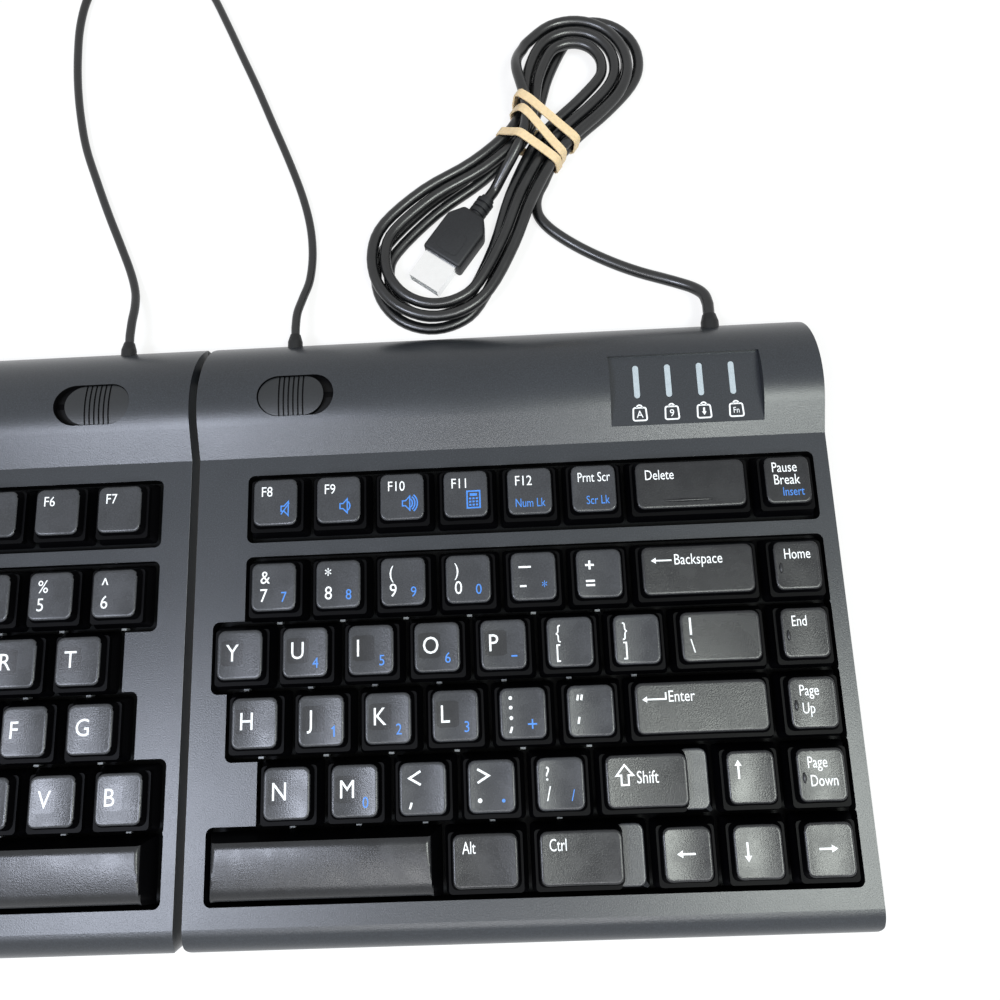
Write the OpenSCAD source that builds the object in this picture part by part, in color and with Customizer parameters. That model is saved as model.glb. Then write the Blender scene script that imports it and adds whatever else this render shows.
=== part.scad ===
// Split keyboard: two flat low halves joined by a pivoting tether, with a humped back edge,
// sculpted keys on rubber domes, two release sliders and a cord folded into a hank.
// Origin midway between the halves on the desk, +X to the right, +Y to the back, +Z up.

/* [Case] */
// Clear gap between the two halves at rest
half_gap = 2.5; // [2:0.1:4]
// Depth of the case from front edge to back edge
case_depth = 182.4; // [182:0.2:188]
// Height of the key edges above the desk
overall_height = 22.4; // [21.5:0.1:25]
// Drop from the key edges to the flat bezel
key_rise = 6.4; // [5.8:0.1:7]
// Thickness of the case walls
case_wall = 2; // [1.6:0.1:2.2]
// Plan radius of the case corners
corner_r = 3; // [2.5:0.1:5]
// Radius of the rounded front edge
front_r = 7.8; // [6:0.1:8]
// Height of the back hump above the bezel
hump_rise = 4.9; // [4:0.1:6]
// Radius of the back hump
hump_r = 24; // [22:0.5:26]
// Distance from the back edge to the crease at the foot of the hump
crease_from_back = 41.3; // [38:0.1:42]
// Flat bezel between the function row and the crease
crease_margin = 6.575; // [6:0.005:8]
// Height of the seam between the base and the top case
seam_z = 7; // [6.8:0.1:8]
// Bezel between the inner edge and the key field of the right half
right_inner_margin = 6.75; // [6:0.05:8]
// Bezel between the inner edge and the key field of the left half
left_inner_margin = 4.8; // [4.6:0.05:6]
// Bezel between the key field and the outer edge of the right half
outer_margin = 5.4; // [5:0.05:8]
// Clearance between the key cells and the edge of their well
well_margin = 0.9; // [0.6:0.05:1.1]
// Thickness of the wall that lines each well
lining = 1.2; // [0.8:0.1:1.3]
// Plan radius of the well corners
well_r = 2; // [1:0.1:3]

/* [Keys] */
// Pitch of the keys along a row
key_pitch = 19.05; // [18.8:0.05:19.2]
// Distance from the number row to the function row
function_pitch = 25.1; // [24.5:0.1:25.5]
// Distance from the front edge to the middle of the front row
front_row_from_edge = 23.7; // [23.5:0.1:26]
// Gap between neighbouring key skirts
key_gap = 0.85; // [0.6:0.05:1.2]
// Height of a key cap from skirt to edge
cap_height = 7.2; // [6.6:0.1:7.6]
// Taper of a cap at each side
side_taper = 2.85; // [2:0.05:3.4]
// Taper of a cap at the front
front_taper = 3.25; // [2:0.05:4]
// How far a space bar's nearly upright front leans back.
bar_taper = 1.2; // [0.8:0.1:2]
// Taper of a cap at the back
back_taper = 1.65; // [1:0.05:3]
// Corner radius of the key top
top_r = 1.8; // [1:0.1:2.5]
// Corner radius of the key skirt
skirt_r = 1.2; // [0.8:0.1:2]
// Roundness of the key top's edge
edge_r = 0.5; // [0.3:0.05:0.8]
// Depth of the hollow across the key top
dish = 0.4; // [0.2:0.05:0.6]
// Wall of a key cap
cap_wall = 1.3; // [1:0.1:1.5]
// Travel of a key
key_travel = 3.5; // [3:0.1:3.8]
// Diameter of a key stem
stem_d = 6; // [5:0.1:6.4]
// Clearance between a stem and its guide
stem_clear = 0.2; // [0.1:0.05:0.3]
// Width of the low ledge beside a stepped key
ledge_w = 6.7; // [5:0.1:8]
// Height of the low ledge of a stepped key
ledge_h = 3.6; // [3:0.1:4]

/* [Inside] */
// Height of the feet below the base
foot_h = 1; // [0.8:0.1:1.2]
// Diameter of a foot
foot_d = 12; // [9:0.5:14]
// Depth of the foot recess
foot_recess = 0.6; // [0.4:0.1:0.8]
// Thickness of the base floor
floor_t = 2; // [1.8:0.1:2.4]
// Thickness of the contact membrane
membrane_t = 0.5; // [0.3:0.1:0.6]
// Thickness of the dome sheet
dome_sheet_t = 0.7; // [0.5:0.1:0.8]
// Radius of a dome at its foot
dome_foot_r = 5; // [4.5:0.1:6]
// Radius of a dome at its top
dome_top_r = 2.6; // [2.2:0.1:2.8]
// Wall of a dome
dome_wall = 0.8; // [0.5:0.1:1]
// Thickness of the key plate
plate_t = 1.6; // [1.2:0.1:1.8]
// Wall of a stem guide
guide_wall = 1.1; // [0.8:0.1:1.4]
// Height of a stem guide above the plate
guide_h = 3.4; // [2.5:0.1:4]
// Wall of the plate rim and ribs
rim_t = 1.2; // [0.8:0.1:1.5]
// Radius of a screw boss
boss_r = 4; // [3.6:0.1:4]
// Radius of a screw shank
screw_r = 1.2; // [1:0.05:1.4]
// Radius of a screw head
screw_head_r = 2.6; // [2.2:0.1:2.8]
// Height of a screw head
screw_head_h = 1.8; // [1.4:0.1:2]
// Reach of a screw past the seam
screw_reach = 6; // [4:0.5:7]

/* [Release sliders and tether] */
// Length of the slider slot
slot_l = 24; // [22:0.5:26]
// Width of the slider slot
slot_w = 13.2; // [11:0.2:14]
// Distance from the inner edge to the near end of the slot
slot_from_inner = 18.8; // [18:0.2:22]
// Distance from the back edge to the middle of the slot
slot_from_back = 22.7; // [22:0.1:24]
// Travel of a release slider
slider_travel = 3; // [2:0.1:3.4]
// Clearance round a slider
slider_clear = 0.3; // [0.2:0.05:0.5]
// Depth of the slider top below the hump
slider_sink = 0.6; // [0.3:0.1:1]
// Grip grooves on a slider
groove_count = 6; // [4:1:8]
// Pitch of the grip grooves
groove_pitch = 1.5; // [1.2:0.1:1.8]
// Distance from the inner edge to the tether pivot
pivot_from_inner = 7.5; // [7:0.1:8]
// Distance from the back edge to the tether pivot
pivot_from_back = 10; // [9.8:0.1:10.4]
// Radius of the tether discs
tether_r = 3.5; // [3:0.1:3.8]
// Running clearance of a tether disc
tether_clear = 0.05; // [0.02:0.01:0.1]
// Width of the tether web
web_w = 4; // [3:0.1:4.4]
// Widest splay of the halves in degrees
splay = 20; // [10:1:20]

/* [Indicators and board] */
// Width of the indicator recess
recess_w = 46.7; // [44:0.1:50]
// Distance from the outer edge to the indicator recess
recess_from_outer = 18.3; // [16:0.1:22]
// Distance from the back edge to the back of the indicator recess
recess_from_back = 14.7; // [14:0.1:17]
// Height of the recess floor above the bezel
recess_rise = 1.6; // [1.2:0.1:2]
// Number of light pipes
lens_count = 4; // [2:1:4]
// Pitch of the light pipes
lens_pitch = 9.85; // [8:0.05:10.5]
// Length of a light pipe
lens_l = 10.5; // [8:0.5:12]
// Width of a light pipe
lens_w = 1.8; // [1.4:0.1:2.4]
// Length of the controller board
board_l = 50; // [46:1:52]
// Width of the controller board
board_w = 20; // [16:1:20]
// Thickness of the controller board
board_t = 1.6; // [1:0.1:1.8]

/* [Cords] */
// Diameter of the link cord
link_d = 2.8; // [2.4:0.1:3]
// Diameter of the computer cord
cord_d = 3.8; // [3.6:0.1:3.8]
// Distance from the inner edge to the link cord outlets
link_from_inner = 26.75; // [25:0.25:27.5]
// Distance from the outer edge to the computer cord outlet
cord_from_outer = 29.4; // [28:0.2:32]
// Length of a strain relief outside the case
relief_l = 4; // [3.5:0.5:6]
// Spacing of the loops of the hank, middle to middle
loop_step = 4.5; // [4.4:0.05:4.6]
// Width of the rubber band
band_w = 3; // [2.5:0.25:3.5]
// Thickness of the rubber band
band_t = 1; // [0.8:0.1:1.2]
// Width of the plug body
plug_w = 15; // [13:0.5:15.5]
// Thickness of the plug body
plug_h = 8; // [7:0.5:9]
// Length of the plug body
plug_l = 20; // [18:0.5:20.5]

/* [Hidden] */
case_colour = "#3b3d40";
key_colour = "#2b2c2e";
grey_colour = "#8d9094";
black_colour = "#18191a";

// Rows run from the function row at the back to the space row at the front.
function_row = 0;
number_row = 1;
top_row = 2;
home_row = 3;
bottom_row = 4;
space_row = 5;
field_units = 9.5;
wide_key = 2;

inner_x = half_gap / 2;
field_w = field_units * key_pitch;
half_w = right_inner_margin + field_w + outer_margin;
outer_x = inner_x + half_w;
front_y = -case_depth / 2;
back_y = case_depth / 2;
bezel_z = overall_height - key_rise;
base_z = foot_h;
floor_z = base_z + floor_t;
hump_z = bezel_z + hump_rise - hump_r;
hump_y = back_y - sqrt(hump_r * hump_r - pow(base_z - hump_z, 2));
crease_y = back_y - crease_from_back;
crease_far = norm([crease_y - hump_y, bezel_z - hump_z]);
ramp_dir = atan2(bezel_z - hump_z, crease_y - hump_y) - acos(hump_r / crease_far);
ramp_slope = ramp_dir - 90;

skirt_z = overall_height - cap_height;
dome_z = floor_z + membrane_t + dome_sheet_t;
press_room = 0.5;
stem_z = dome_z + key_travel + press_room;
skirt_room = 1.1;
plate_top = skirt_z - key_travel - skirt_room;
plate_z = plate_top - plate_t;
guide_r = stem_d / 2 + stem_clear;
seat_clear = 0.3;
small_clear = 0.2;
close_clear = 0.05;
plate_edge = well_margin + lining + seat_clear;
guide_inset = 9.5;

right_field_x = inner_x + right_inner_margin;
left_field_x = -inner_x - left_inner_margin - field_w;
letter_rows = space_row - number_row;
row_room = case_depth - front_row_from_edge - function_pitch - crease_from_back - crease_margin;
row_pitch = row_room / (letter_rows + 0.5);
cap_depth = row_pitch - key_gap;
number_y = front_y + front_row_from_edge + letter_rows * row_pitch;
function row_y(row) = row == function_row ? number_y + function_pitch : number_y - (row - 1) * row_pitch;

// Keys of the right half: middle and width in key units from the left end of the key field.
right_function = [for (i = [0:5]) [1 + i, 1]];
right_number = [for (i = [0:5]) [1 + i, 1]];
right_top = [for (i = [0:6]) [0.5 + i, 1]];
right_home = [for (i = [0:5]) [0.75 + i, 1]];
right_bottom = [for (i = [0:4]) [1.25 + i, 1]];
nav_column = 9;
double_key = [[7.5, 2]];
backslash = [[7.75, 1.5]];
enter = [[7.375, 2.25]];
right_shift = [[6.625, 1.75]];
right_ctrl = [[5.625, 1.75]];
right_alt = [[4.125, 1.25]];
right_space = [[1.75, 3.5]];

// Keys of the left half: two columns of hot keys, a spacer, then the letters.
letters_at = 2.25;
hot_columns = [[0.5, 1], [1.5, 1]];
left_function = [for (i = [0:6]) [letters_at + 0.5 + i, 1]];
left_number = [for (i = [0:6]) [letters_at + 0.5 + i, 1]];
left_top = [for (i = [0:4]) [letters_at + 2 + i, 1]];
left_home = [for (i = [0:4]) [letters_at + 2.25 + i, 1]];
left_bottom = [for (i = [0:4]) [letters_at + 2.75 + i, 1]];
tab = [[letters_at + 0.75, 1.5]];
caps = [[letters_at + 0.875, 1.75]];
left_shift = [[letters_at + 1.125, 2.25]];
left_modifiers = [for (i = [0:2]) [letters_at + 0.625 + 1.25 * i, 1.25]];
left_space = [[letters_at + 5.5, 3.5]];

// Every key of a half as [middle, width, row], for the plate, the domes and the membrane.
function in_row(keys, row) = [for (k = keys) [k[0], k[1], row]];
right_keys = concat(
    in_row(concat(right_function, double_key, [[nav_column, 1]]), function_row),
    in_row(concat(right_number, double_key, [[nav_column, 1]]), number_row),
    in_row(concat(right_top, backslash, [[nav_column, 1]]), top_row),
    in_row(concat(right_home, enter, [[nav_column, 1]]), home_row),
    in_row(concat(right_bottom, right_shift, [[nav_column - 1, 1], [nav_column, 1]]), bottom_row),
    in_row(concat(right_space, right_alt, right_ctrl,
        [for (i = [2:-1:0]) [nav_column - i, 1]]), space_row));
left_keys = concat(
    in_row(concat(hot_columns, left_function), function_row),
    in_row(concat(hot_columns, left_number), number_row),
    in_row(concat(hot_columns, tab, left_top), top_row),
    in_row(concat(hot_columns, caps, left_home), home_row),
    in_row(concat(hot_columns, left_shift, left_bottom), bottom_row),
    in_row(concat(hot_columns, left_modifiers, left_space), space_row));

// Wells as [left end, right end, row] in key units.
right_wells = [[0.5, 9.5, function_row], [0.5, 9.5, number_row], [0, 9.5, top_row],
    [0.25, 9.5, home_row], [0.75, 9.5, bottom_row], [0, 9.5, space_row]];
left_wells = concat(
    [for (row = [function_row:space_row]) [0, 2, row]],
    [[letters_at, letters_at + 7, function_row], [letters_at, letters_at + 7, number_row],
    [letters_at, letters_at + 6.5, top_row], [letters_at, letters_at + 6.75, home_row],
    [letters_at, letters_at + 7.25, bottom_row], [letters_at, letters_at + 7.25, space_row]]);

slot_x = inner_x + slot_from_inner;
slot_y = back_y - slot_from_back;
slider_l = slot_l - slider_travel - 2 * slider_clear;
slider_w = slot_w - 2 * slider_clear;
pivot_x = inner_x + pivot_from_inner;
pivot_y = back_y - pivot_from_back;
tether_z = floor_z + small_clear;
tether_top = seam_z - seat_clear;
screw_from_back = 11.2;
boss_room = 0.9;
screw_back_y = back_y - screw_from_back;
screw_front_y = front_y + case_wall + boss_r + boss_room;
screw_inset = 2 * boss_r + 2;
screw_places = [
    [inner_x + 0.295 * half_w, screw_back_y], [inner_x + 0.61 * half_w, screw_back_y],
    [outer_x - 2 * boss_r, screw_back_y], [inner_x + screw_inset, screw_front_y],
    [inner_x + half_w / 2, screw_front_y], [outer_x - screw_inset, screw_front_y]];
foot_inset = foot_d + 2;
foot_front = foot_d + 4;
foot_aside = 0.207 * half_w;
foot_places = [
    [inner_x + foot_inset, front_y + foot_front], [outer_x - foot_inset, front_y + foot_front],
    [inner_x + foot_aside, back_y - foot_inset], [outer_x - foot_aside, back_y - foot_inset]];
recess_x = outer_x - recess_from_outer - recess_w;
recess_back = back_y - recess_from_back;
recess_z = bezel_z + recess_rise;
tray_t = 1.8;
lens_from_back = 3;
lens_y = recess_back - lens_l / 2 - lens_from_back;
lens_x = recess_x + recess_w / 2 - (lens_count - 1) * lens_pitch / 2;
board_lift = 5;
board_z = floor_z + board_lift;
board_x = recess_x + (recess_w - board_l) / 2;
board_y = lens_y - board_w / 2;
led_h = 1;

link_x = inner_x + link_from_inner;
cord_x = outer_x - cord_from_outer;
relief_wall = 1;
relief_root = hump_y + sqrt(pow(hump_r, 2) - pow(seam_z - hump_z, 2));
relief_end = relief_root + relief_l;
link_relief_r = link_d / 2 + relief_wall;
cord_relief_r = cord_d / 2 + relief_wall;

// The link cord from the left half's outlet, out behind the halves and back to the right half.
desk_gap = 0.05;
link_low = link_d / 2 + desk_gap;
link_start = [-link_x, relief_end, seam_z];
link_end = [link_x, relief_end, seam_z];
link_route = concat([link_start + [0, link_d, 0]],
    [[-28, 101.5, 6.2], [-28.2, 107.5, 4.4], [-29.4, 114, 2.4], [-32, 122, link_low],
    [-36, 132, link_low], [-41, 144, link_low], [-46, 157, link_low], [-51, 171, link_low], [-54, 184, link_low], [-56, 197, link_low],
    [-57, 210, link_low], [-57, 223, link_low], [-55, 235, link_low], [-50, 246, link_low],
    [-42, 254, link_low], [-32, 256, link_low], [-22, 252, link_low], [-14, 244, link_low],
    [-7, 233, link_low], [-1, 220, link_low], [5, 206, link_low], [11, 192, link_low],
    [17, 177, link_low], [23, 162, link_low], [28, 148, link_low], [31, 136, link_low],
    [32, 125, link_low], [31.4, 115, 2.4], [29.6, 107.5, 4.4], [28.3, 101.5, 6.2]], [link_end + [0, link_d, 0]]);

// The hank: loops lie in a lower and an upper layer, drawn in at the waist by the band.
hank_at = [109.5, 160.5];
hank_angle = 53.5;
// Runs beyond the waist and how far their loops lean to the left, each for the lower and the upper layer.
lower_run = [58, 53];
upper_run = [41, 33];
lower_lean = [1, 3.5];
upper_lean = [1.5, 3.5];
lower_bend = 23;
upper_bend = 18;
waist_half = 10.4;
turn_back = 2;
loops = 4.375;
rings_per_loop = 24;
hank_low = cord_d / 2 + desk_gap;
strand_gap = 0.5;
layer_step = cord_d + strand_gap;
waist_lift = band_t + 2 * desk_gap + small_clear;
function loop_inset(t) = loop_step * (t < turn_back ? t : 2 * turn_back - t);
function ease(t) = let (c = min(1, max(0, t))) c * c * (3 - 2 * c);
function level_of(t) = t < turn_back ? 0 : 1;
function waist(u, level) = pow(cos(90 * u / (u > 0 ? upper_run[level] : lower_run[level])), 2);
function run_half(u, inset, level) =
    let (bend = u > 0 ? upper_bend : lower_bend) bend - (bend - waist_half) * waist(u, level) - inset;
function run_lean(u, level) = (u > 0 ? upper_lean[level] : lower_lean[level]) * (1 - waist(u, level));
function lift_at(u) = waist_lift * waist(max(-lower_run[0], min(upper_run[0], u)), 0);
function loop_point(t) =
    let (f = t - floor(t), inset = loop_inset(t), level = level_of(t),
        up = upper_run[level], down = lower_run[level],
        layer = layer_step * ease((t - turn_back) / 0.25 + 0.5),
        u = f < 0.125 ? up * f / 0.125
            : f < 0.375 ? up + (upper_bend - inset) * cos(720 * (f - 0.25))
            : f < 0.625 ? (f < 0.5 ? up : down) * (0.5 - f) / 0.125
            : f < 0.875 ? -down - (lower_bend - inset) * cos(720 * (f - 0.75))
            : down * (f - 1) / 0.125,
        v = f < 0.125 || f >= 0.875 ? run_lean(u, level) - run_half(u, inset, level)
            : f < 0.375 ? upper_lean[level] + (upper_bend - inset) * sin(720 * (f - 0.25))
            : f < 0.625 ? run_lean(u, level) + run_half(u, inset, level)
            : lower_lean[level] - (lower_bend - inset) * sin(720 * (f - 0.75)))
    [u, v, hank_low + layer + lift_at(u)];

// The last stretch crosses the upper layer, goes under the band and dips to the plug.
plug_z = plug_h / 2 + seat_clear;
plug_at = -25;
plug_side = 1;
tail = [[29.2, 23.1, 6.7], [25.4, 22.4, 7.9], [21.8, 20.8, 9.7], [18.2, 18, 11.4], [14.5, 14, 12.3],
    [10.8, 9.8, 12.5], [7, 6.3, 12.4], [2.6, 3.7, 12.2], [-2, 2.1, 11.9], [-6.3, 1.3, 11.1], [-10.5, 1, 9.7],
    [-14.5, 1, 7.8], [-18, 1, 5.9], [plug_at + cord_d, plug_side, plug_z], [plug_at, plug_side, plug_z]];
hank_local = concat([loop_point(0), loop_point(0) + [cord_d, 0, 0]],
    [for (i = [1:round(loops * rings_per_loop)]) loop_point(i / rings_per_loop)], tail);
function hank_place(p) = [
    hank_at[0] + p[0] * cos(hank_angle) - p[1] * sin(hank_angle),
    hank_at[1] + p[0] * sin(hank_angle) + p[1] * cos(hank_angle), p[2]];
hank_points = [for (p = hank_local) hank_place(p)];
near_rings = 4;
hank_gap = min([for (i = [0:len(hank_points) - 1]) for (j = [i + near_rings:1:len(hank_points) - 1])
    norm(hank_points[i] - hank_points[j])]) - cord_d;
echo(hank_gap = hank_gap);

// The lead from the right half's outlet to the start of the hank.
hank_start = hank_points[0];
lead_join = hank_place(loop_point(0) - [cord_d, 0, 0]);
lead_route = concat(
    [[cord_x, relief_end, seam_z], [cord_x, relief_end + cord_d, seam_z]],
    [[164.2, 101, 5.9], [161.5, 104.2, 4.3], [157, 106.8, 3], [151.5, 109.2, 2.2], [145, 111.6, hank_low],
    [138, 114.6, hank_low], [131, 118.2, hank_low], [124.5, 122.1, hank_low], [118.8, 126.2, hank_low],
    [114.2, 130.3, hank_low], [111.2, 134.6, hank_low], [110.4, 139, 2.1], [111.3, 143, 2.4],
    [113.3, 146.6, 2.8]],
    [lead_join, hank_start]);

// Points along a route, with the given number of steps between neighbours.
function spline(a, b, c, d, t) =
    0.5 * (2 * b + (c - a) * t + (2 * a - 5 * b + 4 * c - d) * t * t + (3 * b - a - 3 * c + d) * t * t * t);
function smooth(p, steps) = let (last = len(p) - 1) concat(
    [for (i = [0:last - 1]) for (s = [0:steps - 1])
        spline(p[max(i - 1, 0)], p[i], p[i + 1], p[min(i + 2, last)], s / steps)], [p[last]]);
function unit(v) = v / norm(v);

// A round tube swept along points, closed at both ends.
module tube(p, d, sides) {
    last = len(p) - 1;
    rings = [for (i = [0:last])
        let (along = unit(p[min(i + 1, last)] - p[max(i - 1, 0)]),
            across = unit(cross(along, [0, 0, 1])), up = cross(across, along))
        for (s = [0:sides - 1]) p[i] + d / 2 * (cos(360 * s / sides) * across + sin(360 * s / sides) * up)];
    skin = [for (i = [0:last - 1]) for (s = [0:sides - 1]) for (side = [0, 1])
        let (a = i * sides + s, b = i * sides + (s + 1) % sides)
        side == 0 ? [a, b, a + sides] : [b, b + sides, a + sides]];
    ends = [for (s = [1:sides - 2]) for (end = [0, 1])
        end == 0 ? [0, s + 1, s] : [last * sides, last * sides + s, last * sides + s + 1]];
    polyhedron(rings, concat(skin, ends));
}

module rounded_plan(x0, y0, x1, y1, r) {
    translate([x0 + r, y0]) square([x1 - x0 - 2 * r, y1 - y0]);
    translate([x0, y0 + r]) square([x1 - x0, y1 - y0 - 2 * r]);
    for (x = [x0 + r, x1 - r], y = [y0 + r, y1 - r]) translate([x, y]) circle(r);
}

module pill(l, w) {
    square([l - w, w], center = true);
    for (x = [-1, 1]) translate([x * (l - w) / 2, 0]) circle(w / 2);
}

// Side view of a half, drawn in from its outside by an inset.
module side_view(inset) {
    nose_y = front_y + front_r;
    r = hump_r - inset;
    foot_y = crease_y + inset * tan(ramp_slope / 2);
    translate([nose_y, base_z]) square([hump_y - nose_y, bezel_z - inset - base_z]);
    translate([front_y + inset, base_z]) square([front_r - inset, bezel_z - front_r - base_z]);
    intersection() {
        translate([nose_y, bezel_z - front_r]) circle(front_r - inset);
        translate([front_y, bezel_z - front_r]) square(front_r);
    }
    polygon([[foot_y, bezel_z - inset], [hump_y, bezel_z - inset],
        [hump_y + r * cos(ramp_dir), hump_z + r * sin(ramp_dir)]]);
    intersection() {
        translate([hump_y, hump_z]) circle(r);
        translate([hump_y + r * cos(ramp_dir), base_z]) square([2 * r, 2 * r]);
    }
}

// A right-hand half as a closed block between two heights.
module half_block(inset, z0, z1) {
    intersection() {
        translate([inner_x + inset, 0, 0]) rotate([90, 0, 90])
            linear_extrude(half_w - 2 * inset) side_view(inset);
        translate([0, 0, z0]) linear_extrude(z1 - z0)
            rounded_plan(inner_x + inset, front_y + inset, outer_x - inset, back_y - inset / 2,
                corner_r - inset / 2);
    }
}

module well_plan(field_x, wells, margin) {
    for (w = wells)
        rounded_plan(field_x + w[0] * key_pitch - margin, row_y(w[2]) - row_pitch / 2 - margin,
            field_x + w[1] * key_pitch + margin, row_y(w[2]) + row_pitch / 2 + margin, well_r);
}

module field_plan(field_x, margin) {
    rounded_plan(field_x - margin, row_y(space_row) - row_pitch / 2 - margin,
        field_x + field_w + margin, row_y(function_row) + row_pitch / 2 + margin, well_r);
}

module at_outlets(places, r) {
    for (x = places) translate([x, hump_y, seam_z]) rotate([-90, 0, 0]) cylinder(r = r, h = hump_r + 1);
}

module hump_ring(r_out, r_in, x, l) {
    translate([x, hump_y, hump_z]) rotate([0, 90, 0]) difference() {
        cylinder(r = r_out, h = l);
        translate([0, 0, -1]) cylinder(r = r_in, h = l + 2);
    }
}

// Walls, bosses and slider slot that the two top cases share.
module top_shell() {
    top = bezel_z + hump_rise;
    difference() {
        union() {
            difference() {
                half_block(0, seam_z, top + 1);
                half_block(case_wall, base_z, top + 1);
            }
            intersection() {
                half_block(case_wall / 2, seam_z, top + 1);
                for (p = screw_places) translate([p[0], p[1], seam_z]) cylinder(r = boss_r, h = hump_r);
            }
        }
        for (p = screw_places) translate([p[0], p[1], seam_z - 1])
            cylinder(r = screw_r + close_clear, h = screw_reach + 2);
        translate([slot_x + slot_l / 2, slot_y, seam_z + 1]) linear_extrude(hump_r) pill(slot_l, slot_w);
    }
}

module well_walls(field_x, wells) {
    translate([0, 0, plate_top]) linear_extrude(bezel_z - case_wall / 2 - plate_top)
        well_plan(field_x, wells, well_margin + lining);
}

module well_cut(field_x, wells) {
    translate([0, 0, plate_top - 1]) linear_extrude(bezel_z - plate_top + 2)
        well_plan(field_x, wells, well_margin);
}

module right_top_case() color(case_colour) {
    tray_x = recess_x - case_wall;
    tray_l = recess_w + 2 * case_wall;
    difference() {
        union() {
            top_shell();
            well_walls(right_field_x, right_wells);
            intersection() {
                half_block(case_wall / 2, seam_z, bezel_z + hump_rise);
                translate([tray_x, crease_y, recess_z - tray_t])
                    cube([tray_l, recess_back + case_wall - crease_y, hump_r]);
            }
        }
        well_cut(right_field_x, right_wells);
        translate([recess_x, crease_y - 1, recess_z]) cube([recess_w, recess_back - crease_y + 1, hump_r]);
        lens_row(lens_l + small_clear, lens_w + small_clear, recess_z - tray_t - 1, tray_t + 2);
        at_outlets([link_x], link_relief_r + close_clear);
        at_outlets([cord_x], cord_relief_r + close_clear);
    }
}

module left_top_case() color(case_colour) difference() {
    union() {
        mirror([1, 0, 0]) top_shell();
        well_walls(left_field_x, left_wells);
    }
    well_cut(left_field_x, left_wells);
    at_outlets([-link_x], link_relief_r + close_clear);
}

// Floor, walls, bosses and tether socket that the two bases share.
module base_shell(sweep) {
    head_z = floor_z + small_clear;
    slot_half = web_w / 2 + seat_clear;
    socket_h = seam_z - tether_z + 1;
    boss_wall = 2;
    wall_reach = pivot_from_inner + 1;
    difference() {
        union() {
            difference() {
                half_block(0, base_z, seam_z);
                half_block(case_wall, floor_z, seam_z + 1);
            }
            for (p = screw_places) translate([p[0], p[1], base_z + floor_t / 2])
                cylinder(r = boss_r, h = seam_z - base_z - floor_t / 2);
            intersection() {
                half_block(case_wall / 2, base_z + floor_t / 2, tether_top);
                translate([pivot_x, pivot_y, 0]) union() {
                    cylinder(r = tether_r + boss_wall, h = tether_top);
                    translate([-wall_reach, -tether_r - boss_wall, 0])
                        cube([wall_reach, 2 * (tether_r + boss_wall), tether_top]);
                }
            }
        }
        for (p = screw_places) translate([p[0], p[1], 0]) {
            cylinder(r = screw_r + seat_clear, h = seam_z + 1);
            cylinder(r = screw_head_r + small_clear, h = head_z);
        }
        for (p = foot_places) translate([p[0], p[1], 0])
            cylinder(d = foot_d + small_clear, h = base_z + foot_recess);
        translate([pivot_x, pivot_y, tether_z - small_clear]) {
            cylinder(r = tether_r + tether_clear, h = socket_h);
            linear_extrude(socket_h) polygon([[0, -slot_half], [-wall_reach, -slot_half],
                [-wall_reach, wall_reach * tan(sweep) + slot_half / cos(sweep)], [0, slot_half / cos(sweep)]]);
        }
    }
}

module right_base() color(black_colour) difference() {
    post_in = 4;
    post_r = 2.4;
    union() {
        base_shell(0);
        for (x = [board_x + post_in, board_x + board_l - post_in],
            y = [board_y + post_in, board_y + board_w - post_in])
            translate([x, y, base_z + floor_t / 2]) cylinder(r = post_r, h = board_z - base_z - floor_t / 2);
    }
    at_outlets([link_x], link_relief_r + close_clear);
    at_outlets([cord_x], cord_relief_r + close_clear);
}

module left_base() color(black_colour) difference() {
    mirror([1, 0, 0]) base_shell(splay);
    at_outlets([-link_x], link_relief_r + close_clear);
}

function guide_places(keys, field_x) = [for (k = keys)
    for (x = k[1] >= wide_key ? [-1, 0, 1] : [0])
        [field_x + k[0] * key_pitch + x * (k[1] * key_pitch / 2 - guide_inset), row_y(k[2])]];

// Plate with a rim and cross ribs that stand on the floor and the dome sheet, and a guide per stem.
module key_plate(keys, field_x) {
    rib_l = field_w + 2 * plate_edge - rim_t;
    places = guide_places(keys, field_x);
    difference() {
        union() {
            translate([0, 0, plate_z]) linear_extrude(plate_t) field_plan(field_x, plate_edge);
            translate([0, 0, floor_z]) linear_extrude(plate_z - floor_z) difference() {
                field_plan(field_x, plate_edge);
                field_plan(field_x, plate_edge - rim_t);
            }
            for (row = [number_row:space_row - 1])
                translate([field_x - plate_edge + rim_t / 2, row_y(row) - row_pitch / 2 - rim_t / 2, dome_z])
                    cube([rib_l, rim_t, plate_top - dome_z]);
            for (p = places) translate([p[0], p[1], plate_z])
                cylinder(r = guide_r + guide_wall, h = plate_t + guide_h);
        }
        for (p = places) translate([p[0], p[1], plate_z - 1]) cylinder(r = guide_r, h = plate_t + guide_h + 2);
    }
}

module dome_sheet(keys, field_x) {
    dome_h = stem_z - dome_z;
    sheet_z = floor_z + membrane_t;
    difference() {
        union() {
            translate([0, 0, sheet_z]) linear_extrude(dome_sheet_t)
                field_plan(field_x, plate_edge - rim_t - seat_clear);
            for (k = keys) translate([field_x + k[0] * key_pitch, row_y(k[2]), dome_z])
                cylinder(r1 = dome_foot_r, r2 = dome_top_r, h = dome_h);
        }
        for (k = keys) translate([field_x + k[0] * key_pitch, row_y(k[2]), sheet_z - 1])
            cylinder(r1 = dome_foot_r, r2 = dome_top_r - dome_wall, h = dome_h + dome_sheet_t + 1 - dome_wall);
    }
}

module membrane(field_x) {
    translate([0, 0, floor_z]) linear_extrude(membrane_t) field_plan(field_x, plate_edge - rim_t - seat_clear);
}

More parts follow.
